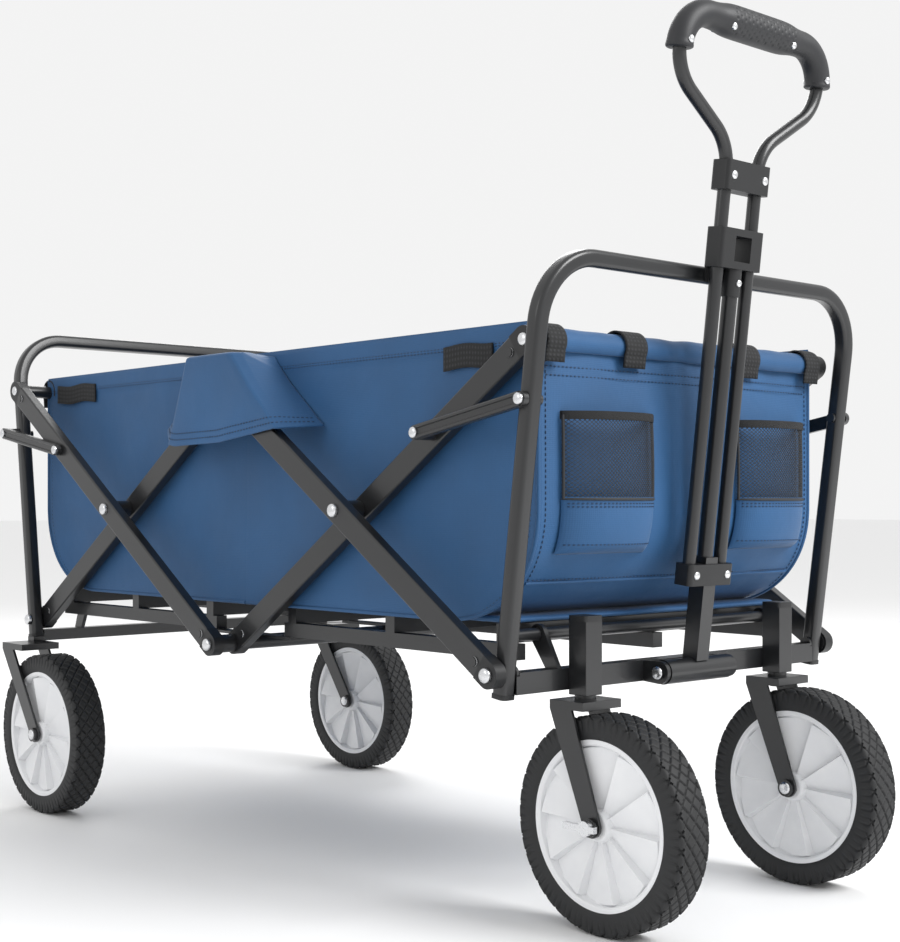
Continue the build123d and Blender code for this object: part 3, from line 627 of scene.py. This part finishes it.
cap_width = 23.6
socket_caps = []
socket_high = limits("caster_sockets")[1][2]
for side_name, side in sides:
    swivel = pivot[f"caster_{side_name}_swivel"]
    line = np.array([[swivel[0], swivel[1], socket_high - 3], [swivel[0], swivel[1], socket_high + 2.5]])
    socket_caps.append(carried(evenly(line, 2.6)[0], rounded_square(cap_width, cap_width, 3.5), (1, 0, 0)))
fit(surface("socket_caps", np.array(socket_caps), wrap_columns=True), "front_frame", black_moulding,
    "black_plastic")

# Basket: a tub of coated blue polyester, sewn from two side panels and an end strip at each end that
# turns under the floor. Its top edge is a stitched hem, and a piped seam runs round each side panel.
woven_polyester, tree, shader = new_finish("coated_blue_polyester_oxford")
cloth_map = add(tree, "ShaderNodeUVMap", uv_map="UVMap")
# 600 denier yarn lies 0.6 mm apart, drawn at 0.9 mm so that the weave shows near by
yarn = 1 / 0.0009
warp = add(tree, "ShaderNodeTexWave", {"Vector": cloth_map.outputs["UV"], "Scale": yarn / 20 * np.pi,
                                       "Distortion": 0.4, "Detail": 1.0}, bands_direction="X")
weft = add(tree, "ShaderNodeTexWave", {"Vector": cloth_map.outputs["UV"], "Scale": yarn / 20 * np.pi,
                                       "Distortion": 0.4, "Detail": 1.0}, bands_direction="Y")
weave = add(tree, "ShaderNodeMath", {0: warp.outputs["Fac"], 1: weft.outputs["Fac"]}, operation="ADD")
place = add(tree, "ShaderNodeTexCoord")
fade = noise(place, 9.0, 4.0)
crumple = noise(place, 38.0, 5.0)
shade = add(tree, "ShaderNodeMapRange", {"Value": weave.outputs["Value"], "From Max": 2.0,
                                         "To Min": 0.0, "To Max": 0.2})
mixed = add(tree, "ShaderNodeMath", {0: shade.outputs["Result"], 1: fade.outputs["Fac"]}, operation="ADD")
tone = blend(tree, mixed.outputs["Value"], "#163f65", "#225787")
heights = add(tree, "ShaderNodeMath", {0: weave.outputs["Value"], 1: 0.05}, operation="MULTIPLY")
summed = add(tree, "ShaderNodeMath",
             {0: heights.outputs["Value"], 1: crumple.outputs["Fac"]}, operation="ADD")
bumped(shader, summed.outputs["Value"], 0.35, 0.0022)
tree.links.new(tone.outputs[2], shader.inputs["Base Color"])
shader.inputs["Roughness"].default_value = 0.66
shader.inputs["Sheen Weight"].default_value = 0.1
shader.inputs["Sheen Roughness"].default_value = 0.4

# Bonded polyester thread, a shade darker than the cloth: a smooth round yarn with a slight shine.
sewing_thread, tree, shader = new_finish("blue_polyester_thread")
place = add(tree, "ShaderNodeTexCoord")
twist = noise(place, 900.0)
tone = blend(tree, twist.outputs["Fac"], "#0f2743", "#193a5d")
tree.links.new(tone.outputs[2], shader.inputs["Base Color"])
shader.inputs["Roughness"].default_value = 0.5

tub_half = 207.4
tub_top = 558.0
tub_low = 281.0
tub_reach = 459.0
corner_reach = 125.0
corner_rise = 108.0
cloth_thickness = 1.4
hem_height = 21
hem_seams = (17.5, 20.0)
seam_inset = 9
strip_top = 550
ridge_height = 318.5
end_bulge = 11.5


def outline_x(z):
    """Reach of the side panel at height z: full above the corner, then a rounded turn under it."""
    share = np.clip((tub_low + corner_rise - z) / corner_rise, 0, 1)
    return tub_reach - corner_reach * (1 - (1 - share ** 2.2) ** (1 / 2.2))


def end_reach(y, z):
    """Reach of the end strip: the outline plus a bulge that is widest halfway up and at mid width."""
    rise = np.clip((z - tub_low) / 272, 0, 1)
    return outline_x(z) + end_bulge * np.sin(np.pi * rise) ** 0.8 * (1 - np.abs(y / tub_half) ** 2.6)


def ripple(x, z):
    """Soft folds of slack cloth: four slow waves whose crests cross at different slants."""
    return (0.9 * np.sin(x / 47 + z / 61) + 0.7 * np.sin(x / 23 - z / 39 + 1.3)
            + 0.5 * np.sin(z / 19 + x / 83) + 0.4 * np.sin(x / 13 + z / 29 + 0.6))


def sewn(piece, end):
    """Rides with an end frame, on a mesh of its own."""
    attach(piece, "rear_frame" if end < 0 else "front_frame")
    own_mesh(piece)
    return piece


def cloth(piece, finish=woven_polyester, thickness=cloth_thickness, offset=-1.0):
    """Gives a sheet its finish and its thickness, on the far side from its normal."""
    piece.data.materials.append(finish)
    wall = piece.modifiers.new("cloth_thickness", "SOLIDIFY")
    wall.thickness = thickness * mm
    wall.offset = offset
    return piece


def face_out(piece, face, way):
    """Turns a sheet over when the face of that number looks away from the given direction."""
    if piece.data.polygons[face].normal @ Vector(way) < 0:
        piece.data.flip_normals()


def trim(name, points, finish):
    """A small closed piece sewn to the cloth: a row of stitches, a piping or a bound edge."""
    piece = surface(name, points, wrap_columns=True)
    piece.data.materials.append(finish)
    return piece


def stitch_row(route, outward, length=3.4, gap=1.6, radius=0.55):
    """A row of stitches: flat beads, one each length plus gap along the route, set on the cloth."""
    points, along = evenly(route, 1.0)
    count = int(along[-1] // (length + gap))
    middle = (np.arange(count) + 0.5) * (length + gap)
    place = np.stack([np.interp(middle, along, points[:, i]) for i in range(3)], -1)
    ahead = np.stack([np.interp(middle + length / 2, along, points[:, i]) for i in range(3)], -1)
    run = ahead - place
    run /= np.linalg.norm(run, axis=1)[:, None]
    out = np.broadcast_to(np.asarray(outward, float), place.shape)
    out = out - (out * run).sum(1)[:, None] * run
    out /= np.linalg.norm(out, axis=1)[:, None]
    flank = np.cross(run, out)
    t = np.linspace(0, np.pi, 5)
    ring = np.linspace(0, 2 * np.pi, 6, endpoint=False)
    lengthwise = -np.cos(t) * length / 2
    swell = np.sin(t) * radius + 1e-3
    return (place[:, None, None] + run[:, None, None] * lengthwise[None, :, None, None]
            + flank[:, None, None] * (swell[:, None] * np.cos(ring))[None, :, :, None] * 1.2
            + out[:, None, None] * (swell[:, None] * np.sin(ring))[None, :, :, None])


for end_name, end in ends:
    u = np.concatenate([[-0.012, -0.003], np.linspace(0, 1, 110)])
    v = np.linspace(0, 1, 78) ** 1.35
    z = tub_low + v[:, None] * (tub_top - tub_low) + 0 * u[None]
    x = u[None] * outline_x(z)
    edge_ease = np.clip((1 - u[None]) * 12, 0, 1) * np.clip(v[:, None] * 9, 0, 1)
    slack = 0.5 + np.clip(ripple(end * x, z) + 1.6, 0, 4) * 0.8 * edge_ease
    slack = slack + np.where(u < 0, -u * 40, 0)[None]
    hem_step = np.clip((z - (tub_top - hem_height)) / 1.5, 0, 1)
    slack = slack * (1 - hem_step) - 0.2 * hem_step
    for side_name, side in sides:
        points = np.stack([mid_x + end * x, side * (tub_half - slack), z], -1)
        panel = surface(f"basket_{end_name}_{side_name}_panel", points, uv=np.stack([x * mm, z * mm], -1))
        face_out(panel, 0, (0, side, 0))
        cloth(panel)
        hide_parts(f"basket_side_{side_name}")
        sewn(panel, end)
        rows = []
        for drop in hem_seams:
            line = np.stack([mid_x + end * np.linspace(2, tub_reach - 2, 40),
                             np.full(40, side * (tub_half + 0.1)), np.full(40, tub_top - drop)], -1)
            rows.append(stitch_row(line, (0, side, 0)))
        edge_z = np.linspace(tub_top - 4, tub_low + 10, 60)
        line = np.stack([mid_x + end * (outline_x(edge_z) - seam_inset),
                         np.full(60, side * (tub_half - 1.0)), edge_z], -1)
        rows.append(stitch_row(line, (0, side, 0)))
        sewn(trim(f"basket_{end_name}_{side_name}_stitches", np.concatenate(rows), sewing_thread), end)
        z_line = np.concatenate([np.linspace(tub_top - 2, tub_low + corner_rise, 30),
                                 tub_low + corner_rise * (1 - np.sin(np.linspace(0, np.pi / 2, 40)[1:]))])
        line = np.stack([mid_x + end * outline_x(z_line),
                         np.full(len(z_line), side * (tub_half - 1.0)), z_line], -1)
        line = np.concatenate([line, [[mid_x + end, side * (tub_half - 1.0), tub_low]]])
        cord = carried(evenly(line, 5)[0], circle(2.1, 10), (0, 1, 0))
        sewn(trim(f"basket_{end_name}_{side_name}_piping", cord, woven_polyester), end)

    # End strip: the edges follow the side panels' outline, the middle bulges out over the load,
    # and the lower end turns in under the floor board.
    z_run = np.concatenate([np.linspace(strip_top, tub_low + corner_rise, 60),
                            tub_low + corner_rise * (1 - np.sin(np.linspace(0, np.pi / 2, 34)[1:]))])
    y_run = np.linspace(-1, 1, 90) * (tub_half - 0.8)
    z_grid, y_grid = np.meshgrid(z_run, y_run, indexing="ij")
    reach = end_reach(y_grid, z_grid) + 0.7 * ripple(y_grid * 1.3, z_grid * 0.8) * np.clip(
        (tub_half - np.abs(y_grid)) / 30, 0, 1) * np.clip((z_grid - tub_low) / 40, 0, 1)
    strip = np.stack([mid_x + end * reach, y_grid, z_grid], -1)
    under = np.stack([np.stack([np.full(90, mid_x + end * x_in), y_run, np.full(90, tub_low - 0.5)], -1)
                      for x_in in np.linspace(tub_reach - corner_reach - 6, 300, 8)])
    strip = np.concatenate([strip, under])
    run = np.cumsum(np.concatenate([[0], np.linalg.norm(np.diff(strip[:, 45], axis=0), axis=1)]))
    spread = np.stack(np.meshgrid(run, y_run, indexing="ij"), -1) * mm
    panel = surface(f"basket_{end_name}_end", strip, uv=spread)
    face_out(panel, 40, (end, 0, 0))
    cloth(panel)
    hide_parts(f"basket_{end_name}")
    sewn(panel, end)
    rows = []
    y_line = np.linspace(-tub_half + 8, tub_half - 8, 80)
    for z_row in (517, 509, 321):
        z_row = np.full(80, float(z_row))
        line = np.stack([mid_x + end * (end_reach(y_line, z_row) + 0.9), y_line, z_row], -1)
        rows.append(stitch_row(line, (end, 0, 0)))
    for y_row in (seam_inset - tub_half, tub_half - seam_inset):
        z_row = np.linspace(544, 300, 60)
        y_row = np.full(60, y_row)
        line = np.stack([mid_x + end * (end_reach(y_row, z_row) + 0.5), y_row, z_row], -1)
        rows.append(stitch_row(line, (end, 0, 0)))
    sewn(trim(f"basket_{end_name}_end_stitches", np.concatenate(rows), sewing_thread), end)
    z_row = np.full(80, ridge_height)
    fold_line = np.stack([mid_x + end * (end_reach(y_line, z_row) + 0.6), y_line, z_row], -1)
    cord = carried(fold_line, circle(1.7, 10), (0, 0, 1))
    sewn(trim(f"basket_{end_name}_end_ridge", cord, woven_polyester), end)

# Sleeves and straps: the top of each end is a sleeve over the cross tube, and black webbing loops
# sewn to the basket go round the tubes and the bars. They stay with the tube when the wagon folds.
# Polypropylene webbing: flat woven ribs of thick yarn, matt black.
black_webbing, tree, shader = new_finish("woven_black_polypropylene_webbing")
cloth_map = add(tree, "ShaderNodeUVMap", uv_map="UVMap")
# webbing ribs lie 1.2 mm apart, drawn at 2 mm so that they show
ribs = add(tree, "ShaderNodeTexWave", {"Vector": cloth_map.outputs["UV"], "Scale": 500 / 20 * np.pi,
                                       "Distortion": 0.6, "Detail": 2.0}, bands_direction="X")
cross = add(tree, "ShaderNodeTexWave", {"Vector": cloth_map.outputs["UV"], "Scale": 400 / 20 * np.pi,
                                        "Distortion": 0.4}, bands_direction="Y")
both = add(tree, "ShaderNodeMath", {0: ribs.outputs["Fac"], 1: cross.outputs["Fac"]}, operation="MULTIPLY")
tone = blend(tree, both.outputs["Value"], "#151617", "#2c2d30")
bumped(shader, both.outputs["Value"], 0.6, 0.0008)
tree.links.new(tone.outputs[2], shader.inputs["Base Color"])
shader.inputs["Roughness"].default_value = 0.8

sleeve_radius = 13.0
sleeve_half = 199
webbing_thickness = 1.8
strap_gap = 2.6
tube_carrier = {"rear": "rear_outer", "front": "front_inner"}


def ribbon(name, route, width, side):
    """A webbing strap along a route, with its width along side, and its yarns on its own UV map."""
    across = np.linspace(-0.5, 0.5, 9) * width
    points = route[:, None] + across[None, :, None] * np.asarray(side, float)
    along = np.cumsum(np.concatenate([[0], np.linalg.norm(np.diff(route, axis=0), axis=1)]))
    strap = surface(name, points, uv=np.stack(np.meshgrid(along, across, indexing="ij"), -1) * mm)
    return cloth(strap, black_webbing, webbing_thickness, offset=0.0)


for (end_name, end), tube in zip(ends, (rear_tube, front_tube)):
    body = tube_carrier[end_name]
    turn = np.radians(np.linspace(-48, 205, 44))
    wrap = sleeve_radius + 0.5 * np.cos(3 * turn)
    y_run = np.linspace(-sleeve_half, sleeve_half, 120)
    waver = 0.5 * np.sin(y_run / 17) + 0.4 * np.sin(y_run / 7 + 1)
    reach = wrap[:, None] + waver[None] * np.clip(1.2 - np.abs(y_run) / sleeve_half, 0, 1)[None]
    points = np.stack([tube[0] + end * reach * np.cos(turn)[:, None],
                       y_run[None] + 0 * reach, tube[2] + reach * np.sin(turn)[:, None]], -1)
    spread = np.stack(np.meshgrid(turn * sleeve_radius, y_run, indexing="ij"), -1) * mm
    sleeve = surface(f"basket_{end_name}_sleeve", points, uv=spread)
    face_out(sleeve, 60, (end, 0, 0))
    cloth(sleeve)
    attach(sleeve, body)
    for y in ((-88, 88, -196, 196) if end > 0 else (-110, 110, -196, 196)):
        turn = np.radians(np.linspace(-30, 200, 34))
        route = np.stack([tube[0] + end * (sleeve_radius + strap_gap) * np.cos(turn), np.full(34, float(y)),
                          tube[2] + (sleeve_radius + strap_gap) * np.sin(turn)], -1)
        drop = np.array([[route[0, 0] - end * 1.5, y, 520.0], [route[0, 0] - end * 0.6, y, 527.0]])
        strap = ribbon(f"basket_{end_name}_strap_{'low' if y < 0 else 'high'}_{abs(y)}",
                       np.concatenate([drop, route]), 30 if abs(y) < 150 else 24, (0, 1, 0))
        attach(strap, body)

# Side straps: a short band of the same webbing sewn under the hem where each top bar passes.
for end_name, end in ends:
    first, last = (334, 402) if end > 0 else (332, 430)
    height = 531.0 if end > 0 else 534.0
    for side_name, side in sides:
        x_run = np.linspace(first, last, 30)
        route = np.stack([mid_x + end * x_run, np.full(30, side * (tub_half + 1.4)),
                          height + 1.2 * np.sin(x_run / 11)], -1)
        sewn(ribbon(f"basket_{end_name}_{side_name}_strap", route, 23, (0, 0, 1)), end)

# Joint covers: a blue flap, sewn to each side's hem and down its rear and front edges, stands out over
# the top middle joint of the bars. Its lower edge is folded and stitched twice.
for side_name, side in sides:
    u = np.linspace(0, 1, 110)
    v = np.linspace(0, 1, 60)
    v_grid, u_grid = np.meshgrid(v, u, indexing="ij")
    head_x = np.interp(u_grid, [0, 0.3, 0.62, 1], [-64, -20, 22, 58])
    foot_x = np.interp(u_grid, [0, 0.3, 0.62, 1], [-160, -60, 130, 146])
    out = np.interp(u_grid, [0, 0.16, 0.26, 0.6, 0.66, 1], [0, 0.6, 1, 1, 0.95, 0])
    foot_z = np.interp(u_grid, [0, 0.12, 0.3, 0.45, 0.62, 1], [480, 466, 456, 458, 470, 474])
    share = v_grid ** 1.15
    x = head_x + (foot_x - head_x) * share
    y = 208.8 + 53.7 * out * np.clip(v_grid / 0.26, 0, 1) ** 0.8 + 0.6 * np.sin(x / 15 + v_grid * 5) * v_grid
    ridge_z = np.interp(v_grid, [0, 0.12, 0.24, 0.34], [556, 556.5, 555, 545])
    ridge_z = np.where(v_grid > 0.34, 545 + (foot_z - 545) * (v_grid - 0.34) / 0.66, ridge_z)
    flank_z = 552 + (foot_z - 552) * v_grid
    z = flank_z + np.clip(out * 1.3, 0, 1) * (ridge_z - flank_z)
    points = np.stack([mid_x + x, side * y, z], -1)
    flap = surface(f"joint_cover_{side_name}", points, uv=np.stack([x, z], -1) * mm)
    face_out(flap, len(flap.data.polygons) // 2, (0, side, 0))
    cloth(flap, thickness=1.8)
    sewn(flap, -1)
    rows = []
    for row in (53, 56):
        line = points[row, 3:-3] + np.array([0, side * 0.5, 0])
        rows.append(stitch_row(line, (0, side, 0)))
    sewn(trim(f"joint_cover_{side_name}_stitches", np.concatenate(rows), sewing_thread), -1)

# Bottle pockets: two on the front panel. The lower part is blue cloth, the upper part a black
# diamond net, with black tape bound along its top and sides.
# Knitted polyester yarn, heat set into open diamonds: matt black, with no shine of its own.
net_yarn, tree, shader = new_finish("knitted_black_polyester_net")
place = add(tree, "ShaderNodeTexCoord")
lint = noise(place, 800.0, 2.0)
tone = blend(tree, lint.outputs["Fac"], "#17181a", "#303236")
tree.links.new(tone.outputs[2], shader.inputs["Base Color"])
shader.inputs["Roughness"].default_value = 0.7

pocket_half = 58.5
pocket_low, net_low, net_high = 345.0, 396.0, 473.0
pocket_out = 23.0


def pocket(u, z, centre):
    """Point of a pocket's face: the end panel's bulge plus a flattened arch that closes at its foot.

    u runs from -1 to 1 across; the arch is pocket_out times (1 - |u|^2.4)^0.7.
    """
    y = centre + u * pocket_half
    foot = np.clip((z - pocket_low) / 9, 0, 1)
    arch = (1 - np.clip(np.abs(u), 0, 1) ** 2.4) ** 0.7 * np.sqrt(foot * (2 - foot))
    reach = end_reach(y, z) + 1.8 + pocket_out * arch
    return np.stack([mid_x + reach, y, z], -1)


pocket_across = 124.0
cell_width, cell_height = 3.9, 3.7
hole_share = 0.79
columns = int(2 * pocket_half / cell_width)
rows_up = int((net_high - net_low) / cell_height)
corner_dir = np.array([[1, 0], [0.5, 0.5], [0, 1], [-0.5, 0.5], [-1, 0], [-0.5, -0.5], [0, -1], [0.5, -0.5]])
hole_turn = np.arange(8) * np.pi / 4
hole = hole_share * np.stack([np.cos(hole_turn), np.sin(hole_turn)], -1)
hole *= np.where(np.arange(8) % 2, 0.74, 1.0)[:, None]
for side_name, side in sides:
    centre = side * pocket_across
    z = np.concatenate([np.linspace(pocket_low, pocket_low + 12, 12)[:-1],
                        np.linspace(pocket_low + 12, net_low + 2, 24)])
    u = np.sin(np.linspace(-np.pi / 2, np.pi / 2, 60))
    z_grid, u_grid = np.meshgrid(z, u, indexing="ij")
    points = pocket(u_grid, z_grid, centre)
    lower = surface(f"pocket_{side_name}_cloth", points, uv=points[..., 1:] * mm)
    face_out(lower, 600, (1, 0, 0))
    cloth(lower, thickness=1.6)
    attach(lower, "front_frame")
    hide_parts("bottle_pockets")

    i, j, odd = np.meshgrid(np.arange(columns), np.arange(rows_up), np.arange(2), indexing="ij")
    cell_y = ((i + 0.5 + 0.5 * odd) * cell_width).ravel()
    cell_z = (net_low + (j + 0.5 + 0.5 * odd) * cell_height).ravel()
    keep_cell = (cell_y < 2 * pocket_half - cell_width / 2) & (cell_z < net_high - cell_height / 2)
    cell_y, cell_z = cell_y[keep_cell], cell_z[keep_cell]
    rings = np.stack([corner_dir, hole], 0) * [cell_width / 2, cell_height / 2]
    flat = rings[None] + np.stack([cell_y, cell_z], -1)[:, None, None]
    flat[..., 0] = flat[..., 0] / pocket_half - 1
    net = surface(f"pocket_{side_name}_net", pocket(flat[..., 0], flat[..., 1], centre),
                  wrap_columns=True, crease=180)
    face_out(net, 600, (1, 0, 0))
    cloth(net, net_yarn, 0.5)
    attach(net, "front_frame")

    route = pocket(u, np.full(60, net_high), centre) + [0.4, 0, 0]
    tape_outline = ((0.9, -4.2), (1.3, -3), (1.3, 2.6), (0.6, 3.6), (-0.6, 3.6), (-1.3, 2.6), (-1.3, -4.2))
    band = np.stack([route + [dx, 0, dz] for dx, dz in tape_outline], 1)
    rim_tape = trim(f"pocket_{side_name}_tape", band, black_webbing)
    rim_tape.data.uv_layers.new(name="UVMap")
    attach(rim_tape, "front_frame")
    edges = []
    for u_line, z_line in (
        (u, np.full(60, net_low)),
        (np.full(60, -0.985), np.linspace(net_low, net_high, 60)),
        (np.full(60, 0.985), np.linspace(net_low, net_high, 60)),
    ):
        route, _ = evenly(pocket(u_line, z_line, centre) + [0.4, 0, 0], 2.0)
        route = route[np.linspace(0, len(route) - 1, 36).astype(int)]
        edges.append(carried(route, circle(1.5, 8), (1, 0, 0)))
    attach(trim(f"pocket_{side_name}_edges", np.array(edges), net_yarn), "front_frame")
    rows = []
    for z_row in (net_low - 4, net_low - 7, pocket_low + 9):
        line = pocket(np.linspace(-0.96, 0.96, 50), np.full(50, z_row), centre) + [0.4, 0, 0]
        rows.append(stitch_row(line, (1, 0, 0), length=3.0, gap=1.4))
    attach(trim(f"pocket_{side_name}_stitches", np.concatenate(rows), sewing_thread), "front_frame")

# Floor: each half is a stiff board in a sewn blue cover with a soft rounded edge. The two halves
# meet in the middle over the rest, and each lifts with its own floor frame.
cover_half = 200.0
cover_middle = 283.6
cover_start = 2.0
for end_name, end in ends:
    low, high = limits(f"floor_{end_name}_board")
    outer = max(abs(low[0] - mid_x), abs(high[0] - mid_x))
    turn_in = np.array([5.2, 3.4, 2.4, 2.0])
    x_run = np.concatenate([turn_in[::-1], [8], np.linspace(12, outer - 8, 60), outer - turn_in])
    thin = np.clip(np.minimum(x_run - cover_start, outer - cover_start - x_run) / 6, 0, 1)
    thin = np.sqrt(thin * (2 - thin))
    y_extra = np.linspace(8 - cover_half, cover_half - 8, 60)
    top_side = np.stack([y_extra[::-1], np.full(60, 3.0)], -1)
    low_side = np.stack([y_extra, np.full(60, -3.0)], -1)
    corner = rounded_square(2 * cover_half, 6.0, 2.9, 5).reshape(4, 5, 2)
    ring = np.concatenate([corner[0], top_side, corner[1], corner[2], low_side, corner[3]])
    crumple_z = 0.35 * ripple(x_run[:, None] * 1.4, ring[None, :, 0] * 1.2) * (ring[None, :, 1] > 0)
    points = np.stack([
        np.broadcast_to((mid_x + end * x_run)[:, None], (len(x_run), len(ring))),
        np.broadcast_to(ring[None, :, 0], (len(x_run), len(ring))),
        cover_middle + (ring[None, :, 1] + crumple_z) * thin[:, None],
    ], -1)
    points = np.concatenate([points[:1] * [1, 0.98, 1], points, points[-1:]])
    board = surface(f"floor_{end_name}_cover", points, wrap_columns=True, uv=points[..., :2] * mm)
    fit(board, f"floor_{end_name}", woven_polyester, "fabric", f"floor_{end_name}_board")

# Pull handle: black-coated tubes between moulded clamps. The grip is moulded rubber over the top of
# the loop, thicker in the middle, with a field of small dimples, and screwed on at four places.
softened("handle_lower_clamp", 2.2, "handle_slide", black_moulding, "black_plastic")
softened("handle_top_clamp", 2.2, "handle_slide", black_moulding, "black_plastic")
softened("handle_guide", 1.4, "handle_arm", black_moulding, "black_plastic")

# Thermoplastic rubber, moulded over the tube with a fine grain: soft black, evenly matt.
soft_grip, tree, shader = new_finish("moulded_black_grip_rubber")
place = add(tree, "ShaderNodeTexCoord")
matt = noise(place, 1500.0, 2.0)
bumped(shader, matt.outputs["Fac"], 0.25, 0.0003)
wear = noise(place, 60.0, 2.0)
gloss = add(tree, "ShaderNodeMapRange", {"Value": wear.outputs["Fac"], "To Min": 0.42, "To Max": 0.56})
tree.links.new(gloss.outputs["Result"], shader.inputs["Roughness"])
shader.inputs["Base Color"].default_value = linear("#202124")

handle_foot = pivot["handle_swing"]
handle_up = np.array(joint["handle_extend"]["axis"])
handle_fore = np.array([handle_up[2], 0, -handle_up[0]])
handle_across = np.array([0, 1.0, 0])


def on_handle(y, height, fore=0.0):
    """A point of the handle from its distance across, its height up the tubes and its way forward."""
    y, height, fore = (part[..., None] for part in np.broadcast_arrays(np.asarray(y, float), height, fore))
    return handle_foot + y * handle_across + height * handle_up + fore * handle_fore


rail_spread = 23.5
loop_half, loop_top, loop_bend = 106.5, 618.0, 36.0
corners = on_handle([loop_half, loop_half, -loop_half, -loop_half], [581, loop_top, loop_top, 581])
route, along = evenly(rounded_route(corners, [loop_bend, loop_bend], 30), 0.8)
grip_end = along[-1] / 2
from_middle = np.abs(along - grip_end)
swell = (12.5 + 3.2 / (1 + np.exp((from_middle - 52) / 5))
         + 0.9 * np.clip((from_middle - grip_end + 6) / 6, 0, 1))
end_round = np.clip((grip_end - from_middle) / 3, 0.0, 1)
swell = swell * (0.86 + 0.14 * np.sqrt(end_round * (2 - end_round)))
ring = circle(1.0, 110)
angle = np.arctan2(ring[:, 1], ring[:, 0])
dimple_pitch = 5.6
dimple_depth = 0.7
grip_reach = 15.0
row = np.round(from_middle / dimple_pitch)
shift = 0.5 * (row % 2)
around = angle[None] * grip_reach / dimple_pitch + shift[:, None]
gap_run = (from_middle / dimple_pitch - row)[:, None]
gap_round = around - np.round(around)
dot = np.clip(1 - (gap_run ** 2 + gap_round ** 2) / 0.06, 0, 1)
field = (from_middle[:, None] < 46) * (np.abs(angle[None]) < 1.0)
grip_radius = swell[:, None] - dimple_depth * np.sqrt(dot) * field
run = np.gradient(route, axis=0)
run /= np.linalg.norm(run, axis=1)[:, None]
outward = np.cross(run, handle_fore)
points = route[:, None] + grip_radius[..., None] * (
    ring[None, :, :1] * handle_fore + ring[None, :, 1:] * outward[:, None])
grip = surface("grip_moulding", capped(points, route), wrap_columns=True, crease=60)
fit(grip, "handle_slide", soft_grip, "black_plastic", "handle_grip")


loop_neck = 46
half_loop = np.array([(rail_spread, 85), (rail_spread, 507), (loop_half, 560), (loop_half, loop_top)])
corners = on_handle(*np.concatenate([half_loop, half_loop[::-1] * [-1, 1]]).T)
bends = [loop_neck, loop_neck, loop_bend, loop_bend, loop_neck, loop_neck]
route, _ = evenly(rounded_route(corners, bends, 16), 3)
tube = surface("handle_loop_tube", carried(route, circle(6.5, 24), handle_fore), wrap_columns=True)
fit(tube, "handle_slide", satin_powder_coat, "frame_steel", "handle_loop")


def screws(name, places, body, radius=4.2, rise=1.8):
    """Domed screw heads on the front and back of the handle, at (across, height, forward) places."""
    places = np.array(places, float)
    t = np.linspace(0, np.pi / 2, 7)
    reach = np.concatenate([[0, 1], np.cos(t)]) * radius
    out = np.concatenate([[-0.8, -0.8], np.sin(t) * rise])
    turn = np.linspace(0, 2 * np.pi, 18, endpoint=False)
    middle = on_handle(places[:, 0], places[:, 1], places[:, 2])
    way = np.sign(places[:, 2])
    head = (middle[:, None, None]
            + (reach[:, None] * np.cos(turn))[None, ..., None] * handle_across
            + (reach[:, None] * np.sin(turn))[None, ..., None] * handle_up
            + (out[None] * way[:, None])[:, :, None, None] * handle_fore)
    return fit(surface(name, head, wrap_columns=True), body, zinc_plate, "zinc")


grip_places = ((46, 611, 12.9), (-46, 611, 12.9), (105.5, 588, 13.0), (-105.5, 588, 13.0))
screws("grip_screws", [(y, h, w * f) for y, h, f in grip_places for w in (1, -1)], "handle_slide", 3.6)
clamp_places = [(y, h, w * 11.2) for y in (-rail_spread, rail_spread) for h in (95, 478) for w in (1, -1)]
screws("clamp_rivets", clamp_places, "handle_slide")
screws("guide_rivets", [(0, 378, w * 9.8) for w in (1, -1)], "handle_arm", 3.6)
clevis_high = limits("handle_clevis")[1]
bolt_ends = [(handle_foot[0], s * (clevis_high[1] + 0.1), handle_foot[2], s) for _, s in sides]
fit(surface("clevis_bolt_heads", domes(bolt_ends, 6.3, 0.5, 2.4), wrap_columns=True), "front_frame",
    zinc_plate, "zinc")
